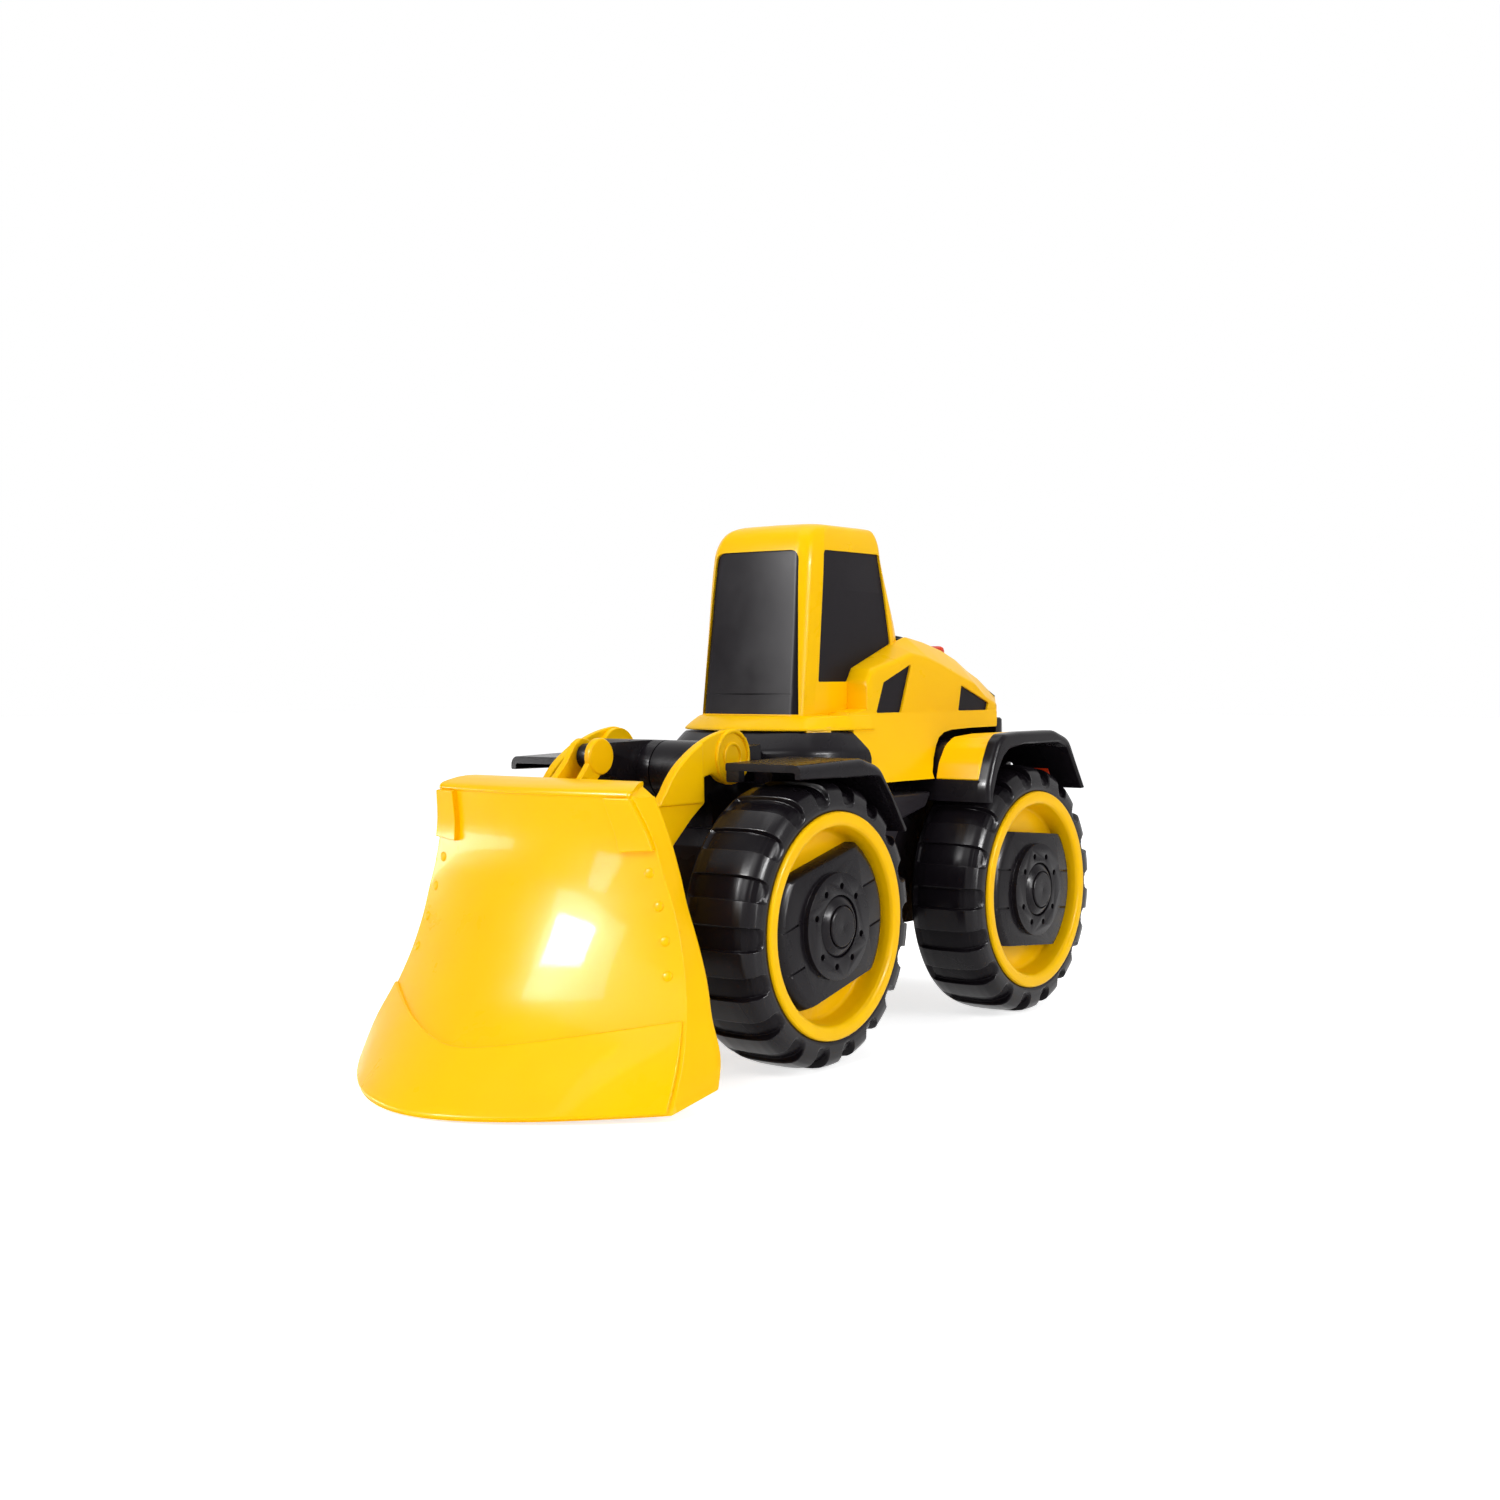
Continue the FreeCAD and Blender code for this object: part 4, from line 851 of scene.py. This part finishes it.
def body():
    shell = body_solid("body", 0, 58.5, 194, 101.5)
    boolean(shell, lip(), "UNION")
    tab = [(30.4, 36.4), (35, 46.5), (33, 47.5), (28.5, 37.5)]
    boolean(shell, plan_prism("tab", tab, 121.3, 124), "UNION")
    boolean(shell, body_solid("core", 2.2, 74.2, 191.8, 100))
    half = [(0, 26.5), (13, 29.6), (28, 36.6), (35, 58.5), (35.5, 80), (0, 80)]
    boolean(shell, plan_prism("under", mirrored(half), 92, 125))
    arch = [(106.6, 90), (106.8, 104), (111.2, 109.8), (116.4, 115), (120.6, 118.2), (126, 120.2),
            (133, 121.2), (150, 121.7), (172, 121.8), (177.4, 129.4), (200, 129.4), (200, 90)]
    boolean(shell, side_prism("arch", arch, -60, 60, 2))
    front = [(40, 121.9), (58.5, 121.9), (67.5, 102), (67.5, 90), (40, 90)]
    boolean(shell, side_prism("front", front, -60, 60, [0, 6, 0, 0, 0]))
    opening = mirrored([(0, 112), (23.4, 112), (23.4, 200), (0, 200)])
    boolean(shell, plan_prism("opening", opening, 115, 170))
    boolean(shell, cab_solid("seat", inset=-0.05))
    for place, outline in VENTS.items():
        for side_name, side in SIDES.items():
            boolean(shell, side_prism("vent", outline, *span(side, 27, 40), 0.8))
            insert = body_solid("insert", 0.9, 60.6, 194, 101.5)
            boolean(insert, side_prism("tool", outline, *span(side, 31, 40), 0.8), "INTERSECT")
            insert.name = f"{place}_vent_{side_name}_panel"
            stand_for(shade_by_angle(insert), f"{place}_vent_{side_name}")
    shell.name = "body_moulding"
    stand_for(shade_by_angle(shell, 28), "body_shell")


TURRET_WALL = [(0, 17), (9, 18.2), (17, 21), (26, 25), (34, 30.5), (39, 38), (42, 47), (43.3, 56)]
TURRET_CROWN = [(0, 24.5), (8, 25.8), (14, 28), (23, 31.4), (30, 35.8), (33.6, 42), (36, 50), (37, 58)]


def turret():
    """Black drum under the cab, with a sloping shoulder."""
    rows = []
    for z, t in ((103, 0), (105, 0), (109, 0), (113.6, 0), (114.6, 0.03), (115.4, 0.1), (116.4, 0.22),
                 (119, 0.55), (121.2, 0.86), (122, 1)):
        half = [(i, *toward(a, b, t)) for i, (a, b) in enumerate(zip(TURRET_WALL, TURRET_CROWN))]
        line = [tuple(interpolate(half, k / 5)) for k in range(5 * len(half) - 4)]
        end = [(line[-1][0] - 0.3 * t, 63), (32.5, 66), (32, 100)]
        rows.append([(x, y, z) for x, y in line + end] + [(-x, y, z) for x, y in reversed(line[1:] + end)])
    drum = loft("turret", rows)
    beside = [(58, 123), (58.3, 121.9), (66.4, 104), (80, 102), (80, 123)]
    for side in (1, -1):
        boolean(drum, side_prism("beside", beside, *span(side, 34.6, 46), [0, 5, 0, 0, 0]))
    return shade_by_angle(drum, 35)


def upper_chassis():
    """Base plate and nose from the CAD form, with a smooth turret."""
    kept = softened("upper_chassis", 0)
    base = [(-60, 80), (250, 80), (250, 104.1), (14, 104.1), (14, 135), (-60, 135)]
    boolean(kept, side_prism("base", base, -50, 50), "INTERSECT")
    nose_back = [(0, 104), (22, 104), (22, 116), (10, 117.2), (0, 117.6)]
    back = prism("back", nose_back, -20, 20, 1.5, 3, 30)
    mould("upper_chassis", [shade_by_angle(kept), shade_by_angle(back), turret()])


# ---- mudguards, steps and arms
def sweep(side, tops, unders, skirts):
    """Mudguard along three matching side-view lines: its top, its underside and its skirt's edge."""
    x_in, x_out, x_skirt, radius = side * 37.3, side * 71, side * 68.5, 3.2
    rows = []
    for t, u, k in zip(*(resample(line, 60) for line in (tops, unders, skirts))):
        height = max(math.dist(t, k), 0.01)
        r = min(radius, 0.8 * height)
        row = [(x_in, *u), (x_in, *toward(u, t, 0.8)), (x_in + side * 0.5, *t)]
        for i in range(9):
            angle = math.pi / 2 * i / 8
            row.append((x_out - side * r * (1 - math.sin(angle)),
                        *toward(t, k, r * (1 - math.cos(angle)) / height)))
        row += [(x_out, *toward(t, k, 0.93)), (x_out - side * 0.5, *k), (x_skirt + side * 0.4, *k),
                (x_skirt, *toward(k, u, 0.15))]
        row += [(x_skirt, *(toward(k, u, 0.8) if math.dist(u, k) > 0.3 else u)), (x_skirt - side * 0.6, *u)]
        rows.append(row)
    return loft("guard", rows)


def front_fender(side_name, side):
    top = eased([(-24, 112.6), (17.3, 113.6), (28, 110.6), (47, 86.4)], [0, 8, 8, 0], 6)
    under = eased([(-24, 109.8), (16.5, 109.8), (26, 107.4), (44.4, 84.6)], [0, 8, 6, 0], 6)
    skirt = eased([(-24, 107.4), (27, 106.9), (34.5, 98.6), (44.4, 84.6)], [0, 3, 3, 0], 6)
    guard = sweep(side, top, under, skirt)
    tab = side_prism("tab", [(3, 104), (20, 104), (20, 112), (3, 112)], *span(side, 30, 38.3))
    stop = side_prism("stop", [(-23.5, 105.6), (-20, 105.6), (-20, 111), (-23.5, 111)],
                      *span(side, 37.3, 43), 0.8)
    mould(f"front_fender_{side_name}", [shade_by_angle(p, 40) for p in (guard, tab, stop)])


BAND_TOP = [
    (107, 92.3), (107, 99), (111, 109.5), (115.4, 117.2), (119.6, 120), (134, 120.75), (164.2, 120.75),
    (176.9, 117), (191.7, 95.4)]
BAND_UNDER = [
    (110.6, 92.3), (111.2, 96), (114.4, 104), (119, 110.4), (124.4, 114), (137, 115.6), (167.5, 115.6),
    (175, 113.4), (189, 94.4)]


def rear_fender(side_name, side):
    label = f"rear_fender_{side_name}"
    outer = [(107.4, 101.2), (109.8, 108.4), (114.7, 115.2), (121.2, 118.5), (135.8, 119.5), (168.5, 119.6),
             (178.6, 117.4)]
    inner = [(109.5, 101.2), (111.5, 106.5), (116, 113), (122, 116.2), (136, 117.2), (168, 117.2), (177, 115)]
    outline = eased(outer, 9) + eased(inner, 8)[::-1]
    stand_for(prism(label + "_moulding", outline, *span(side, 45.5, 66), 0.8), label)

    band = band_solid(side, eased(BAND_TOP, [0, 10, 14, 5, 4, 12, 12, 9, 0]), eased(BAND_UNDER, 5))
    liner = [(107.3, 92.3), (107.5, 101.2), (109.5, 101.2), (111.5, 106.5), (116, 113.2), (122, 116.2),
             (136, 117.1), (168, 117.1), (177, 114.9), (179.5, 114.4), (191.6, 95.4)]
    skin = prism("skin", liner + BAND_UNDER[::-1], *span(side, 33, 66.5))
    flange = side_prism("flange", [(120, 97), (120, 115), (167, 117), (172, 113.8), (172, 97)],
                        *span(side, 33, 35.5), 1.5)
    hole = circle(side * 38.8, 104, 1.8, 24)
    boolean(skin, loft("hole", [[(x, y, z) for x, z in hole] for y in (178, 192)], weld=0))
    lamp_hole = [(180.3, 106.8), (186, 108.2), (190.4, 101.1), (184.7, 99.7)]
    boolean(skin, side_prism("lamp", lamp_hole, *span(side, 48.4, 57.6)))
    mould(f"rear_fender_lip_{side_name}", [shade_by_angle(p, 35) for p in (band, skin, flange)])


def band_solid(side, top, under):
    """Outer band of the rear mudguard, with a well rounded outer edge."""
    rows = []
    for t, u in zip(resample(top, 70), resample(under, 70)):
        r, height = 2.4, max((t - u).length, 0.1)
        row = [(side * 66, *t)]
        for i in range(8):
            angle = math.pi / 2 * i / 7
            spot = t.lerp(u, min(r * (1 - math.cos(angle)) / height, 0.5))
            row.append((side * (71.5 - r * (1 - math.sin(angle))), *spot))
        row += [(side * 71.5, *u.lerp(t, min(0.8 / height, 0.3))), (side * 70.8, *u), (side * 66, *u)]
        rows.append(row)
    return loft("band", rows)


def arc_points(start, through, end, steps):
    """Points of the circle arc through three points of the (y, z) plane, without the first."""
    (ax, ay), (bx, by), (cx, cy) = start, through, end
    a2, b2, c2 = ax**2 + ay**2, bx**2 + by**2, cx**2 + cy**2
    d = 2 * (ax * (by - cy) + bx * (cy - ay) + cx * (ay - by))
    ux = (a2 * (by - cy) + b2 * (cy - ay) + c2 * (ay - by)) / d
    uy = (a2 * (cx - bx) + b2 * (ax - cx) + c2 * (bx - ax)) / d
    first, second, last = (math.atan2(y - uy, x - ux) for x, y in (start, through, end))
    full = 2 * math.pi
    ccw = (second - first) % full < (last - first) % full
    turn = (last - first) % full if ccw else -((first - last) % full)
    radius = math.hypot(ax - ux, ay - uy)
    angles = [first + turn * k / steps for k in range(1, steps + 1)]
    return [(ux + radius * math.cos(angle), uy + radius * math.sin(angle)) for angle in angles]


def lift_arm(side_name, side):
    """Curved arm with a proud plate on its upper part and ringed bosses at its ends."""
    (py, pz), (hy, hz), lobe = PIVOT, HINGE, 10.5
    heel, toe, elbow = (hy - 8.3, hz + 1.5), (hy + 7.4, hz - 4), (-50.4, 103.2)
    under_pivot = (py + 0.6 * lobe, pz - 0.8 * lobe)
    upper = (arc_points(heel, (-65.5, 85), elbow, 12)
             + arc_points(elbow, (-45.7, 109.3), (-38.5, 115), 8)
             + arc_points((-38.5, 115), (-26.4, 121.2), (-13, 124.5), 10))
    lobe_round = (arc_points((-13, 124.5), (py + 0.8 * lobe, pz + 0.6 * lobe), under_pivot, 16)
                  + arc_points(under_pivot, (py, pz - lobe), (-16.5, 105.5), 6))
    lower = [(-22.5, 108.3), (-27.1, 107.4), (-26.9, 97.8), (-34.4, 92.6), (-45.4, 83), (-58, 71.5), toe]
    outline = upper + lobe_round + lower + arc_points(toe, (hy - 4, hz - 7.4), heel, 12)
    parts = [prism("plate", outline, *span(side, 27.6, 30.2), 0.7)]
    panel = [(-54.4, 97.8), *(p for p in upper if -54 <= p[0] <= -29.4), (-28.9, 120.2), (-28.9, 97.8)]
    parts.append(prism("panel", panel, *span(side, 29.4, 31.3), 0.9, 4, 30))
    rims = ((PIVOT, 10.2, 8.6, 31.1), (PIVOT, 5.4, 4.2, 30.9), (HINGE, 6.8, 5.4, 31.1))
    for centre, outer, inner, x in rims:
        section = ((29.8, outer), (x - 0.5, outer), (x - 0.1, outer - 0.3), (x, outer - 0.7),
                   (x - 0.1, inner + 0.2), (x - 0.5, inner), (29.8, inner))
        rows = list(zip(*([(side * a, *p) for p in circle(*centre, r, 48)] for a, r in section)))
        parts.append(loft("rim", rows + [rows[0]], cap=False))
    for centre, radius in ((PIVOT, 10), (HINGE, 7.5)):
        parts.append(prism("boss", arc(*centre, radius, 0, 352.5, 47), *span(side, 25.4, 28.6), 0.5))
    mould(f"lift_arm_{side_name}", parts)


# ---- everything else
def beacon_bar():
    """Red bar with rounded ends on two feet."""
    end = [(-19.6, 0.4), (-19.5, 1.4), (-19.1, 2.1), (-18.3, 2.5), (-17, 2.6)]
    rows = [[(x, *p) for p in circle(155.5, 154.9, r, 32)] for x, r in end + [(-x, r) for x, r in end[::-1]]]
    foot = [(153.8, 150), (157.2, 150), (157, 155), (154, 155)]
    parts = [loft("bar", rows, weld=0)]
    parts += [prism("foot", foot, *span(side, 11, 15), 0.4, 2) for side in SIDES.values()]
    mould("beacon_bar", parts)


TAIL_REAR = [
    (96.5, 220.4), (97.6, 221.6), (100, 222.4), (111.5, 219.6), (118, 217.4), (120.6, 215.2), (122.6, 212),
    (124.2, 207.4), (125.2, 203.6)]
SLOTS = (100.4, 103.8, 107.2, 110.6, 114)


def rear_grille():
    """Prow-shaped tail with slots round it, and the narrower wall that reaches up to the deck."""
    levels = [(z, 0) for z in (97, 97.6, 98.6, 117, 118.5, 119.8, 121, 122.2, 123.2, 124.2)]
    for z in SLOTS:
        levels += [(z, 0), (z + 0.25, 0.25), (z + 0.35, 0.9), (z + 1.35, 0.9), (z + 1.45, 0.25), (z + 1.7, 0)]
    rows = []
    for z, inset in [(96.5, 0.7)] + sorted(levels) + [(125, 0.6)]:
        rear = interpolate(TAIL_REAR, z)[0] - inset
        half = [(0, 195.2), (24 - inset, 195.2), (24 - inset, 200 - inset), (20 - inset, 208 - inset),
                (min(10, 10 - inset + 0.3), min(216 - inset, rear - 1)), (6.6 - inset, rear), (0, rear)]
        rows.append([(p.x, p.y, z) for p in ring(half, [0, 0.6, 4, 6, 3, 2.5, 0])])
    tail = shade_by_angle(loft("tail", rows), 35)
    wall = [(195.2, 120), (205, 120), (203, 128), (198.5, 136.2), (195.2, 138.8)]
    mould("rear_grille", [tail, prism("back_wall", wall, -16, 16, 1.0, 3, 25)])


def carried_forms():
    """Mouldings whose CAD form is kept, with rounded edges, and the bare steel pins."""
    widths = {"tilt_link": 0.6, "rear_bumper": 1.5, "side_step_left": 1.2, "side_step_right": 1.2,
              "engine_deck": 0.8, "arm_cross_brace": 1.0, "lower_chassis": 0.8}
    for node, form in NODES.items():
        if form.hide_render:
            continue
        if SLOT_OF[node] == "steel":
            paint(form, node)
            continue
        piece = softened(node, widths.get(node, 0.4))
        if node == "engine_deck":
            above = [(90, 155.5), (107, 157.3), (118.5, 160.6), (118.5, 175), (90, 175)]
            boolean(piece, side_prism("above", above, -30, 30))
            shade_by_angle(piece, 32)
        stand_for(piece, node)


wheels()
blade()
cab()
body()
upper_chassis()
beacon_bar()
rear_grille()
for side_name, side in SIDES.items():
    front_fender(side_name, side)
    rear_fender(side_name, side)
    lift_arm(side_name, side)
carried_forms()


# ---- studio
def camera():
    """Camera at the photograph's height, angle and distance."""
    data = bpy.data.cameras.new("camera")
    data.lens, data.sensor_width, data.clip_start = 45.38, 36, 0.01
    eye = Vector((0.4608, -0.60315, 0.1436))
    azimuth, down, roll = map(math.radians, (37.29, 2.19, -0.11))
    view = Vector((-math.sin(azimuth) * math.cos(down), math.cos(azimuth) * math.cos(down), -math.sin(down)))
    turn = view.to_track_quat("-Z", "Y").to_matrix() @ Matrix.Rotation(roll, 3, "Z")
    holder = add_object("camera", data)
    holder.matrix_world = Matrix.Translation(eye) @ turn.to_4x4()
    bpy.context.scene.camera = holder


def lamp(name, place, target, size, power, diffuse=True):
    """Rectangular studio lamp aimed at a point."""
    data = bpy.data.lights.new(name, "AREA")
    data.shape = "RECTANGLE"
    data.size, data.size_y = size
    data.energy = power
    holder = add_object(name, data)
    aim = (Vector(target) - Vector(place)).to_track_quat("-Z", "Y")
    holder.matrix_world = Matrix.Translation(place) @ aim.to_matrix().to_4x4()
    holder.visible_diffuse = diffuse
    holder.visible_camera = False


def world(strength):
    """Soft even room light, white where it is seen."""
    shader = Shader(bpy.data.worlds.new("studio"), "Background", Color=(1, 1, 1, 1))
    shader.drive(shader.seen_or_lit(strength, 1.0), "Strength")
    bpy.context.scene.world = shader.owner


def floor(glow):
    """Pale floor that shows white but keeps the toy's shadow."""
    bm = bmesh.new()
    bmesh.ops.create_grid(bm, x_segments=8, y_segments=8, size=6)
    piece = new_piece("floor", bm)
    shader = Shader(bpy.data.materials.new("floor_white"), "Principled BSDF",
                    Base_Color=(0.85, 0.85, 0.85, 1), Roughness=0.7)
    emission, both = shader.add("ShaderNodeEmission"), shader.add("ShaderNodeAddShader")
    shader.link(shader.seen_or_lit(0.0, glow), emission.inputs["Strength"])
    shader.link(shader.main.outputs[0], both.inputs[0])
    shader.link(emission.outputs[0], both.inputs[1])
    shader.link(both.outputs[0], shader.tree.nodes["Material Output"].inputs["Surface"])
    piece.data.materials.append(shader.owner)


camera()
world(0.32)
floor(0.72)
# Name, place, the point it is aimed at, size and power.
for row in (("key", (0.08, -1.05, 0.95), (0, -0.05, 0.08), (0.7, 0.7), 8.2),
            ("side", (1.1, 0.05, 0.6), (0, 0.05, 0.08), (0.6, 0.6), 5.2),
            ("top", (-0.1, 0.15, 1.1), (0, 0, 0), (0.8, 0.8), 4)):
    lamp(*row)
# These make the reflections on the blade, cab, tyres and hubs, and light nothing else.
for row in (("left", (-0.6, -0.38, 0), (0, -0.13, 0.09), (0.4, 0.14), 6),
            ("window", (-0.2, -0.78, 0.5), (0, -0.13, 0.055), (0.44, 0.3), 13),
            ("spot", (-0.24, -0.76, 0.49), (0, -0.13, 0.055), (0.24, 0.12), 27),
            ("front_strip", (-0.3, -1.0, 0.2), (0.02, -0.1, 0.12), (0.1, 0.34), 6),
            ("right_strip", (0.95, 0.1, 0.25), (0.03, 0, 0.12), (0.1, 0.35), 4),
            ("hub_strip", (0.95, -0.02, 0.42), (0.07, 0, 0.053), (0.35, 0.1), 10)):
    lamp(*row, diffuse=False)
bpy.context.scene.view_settings.view_transform = "Standard"
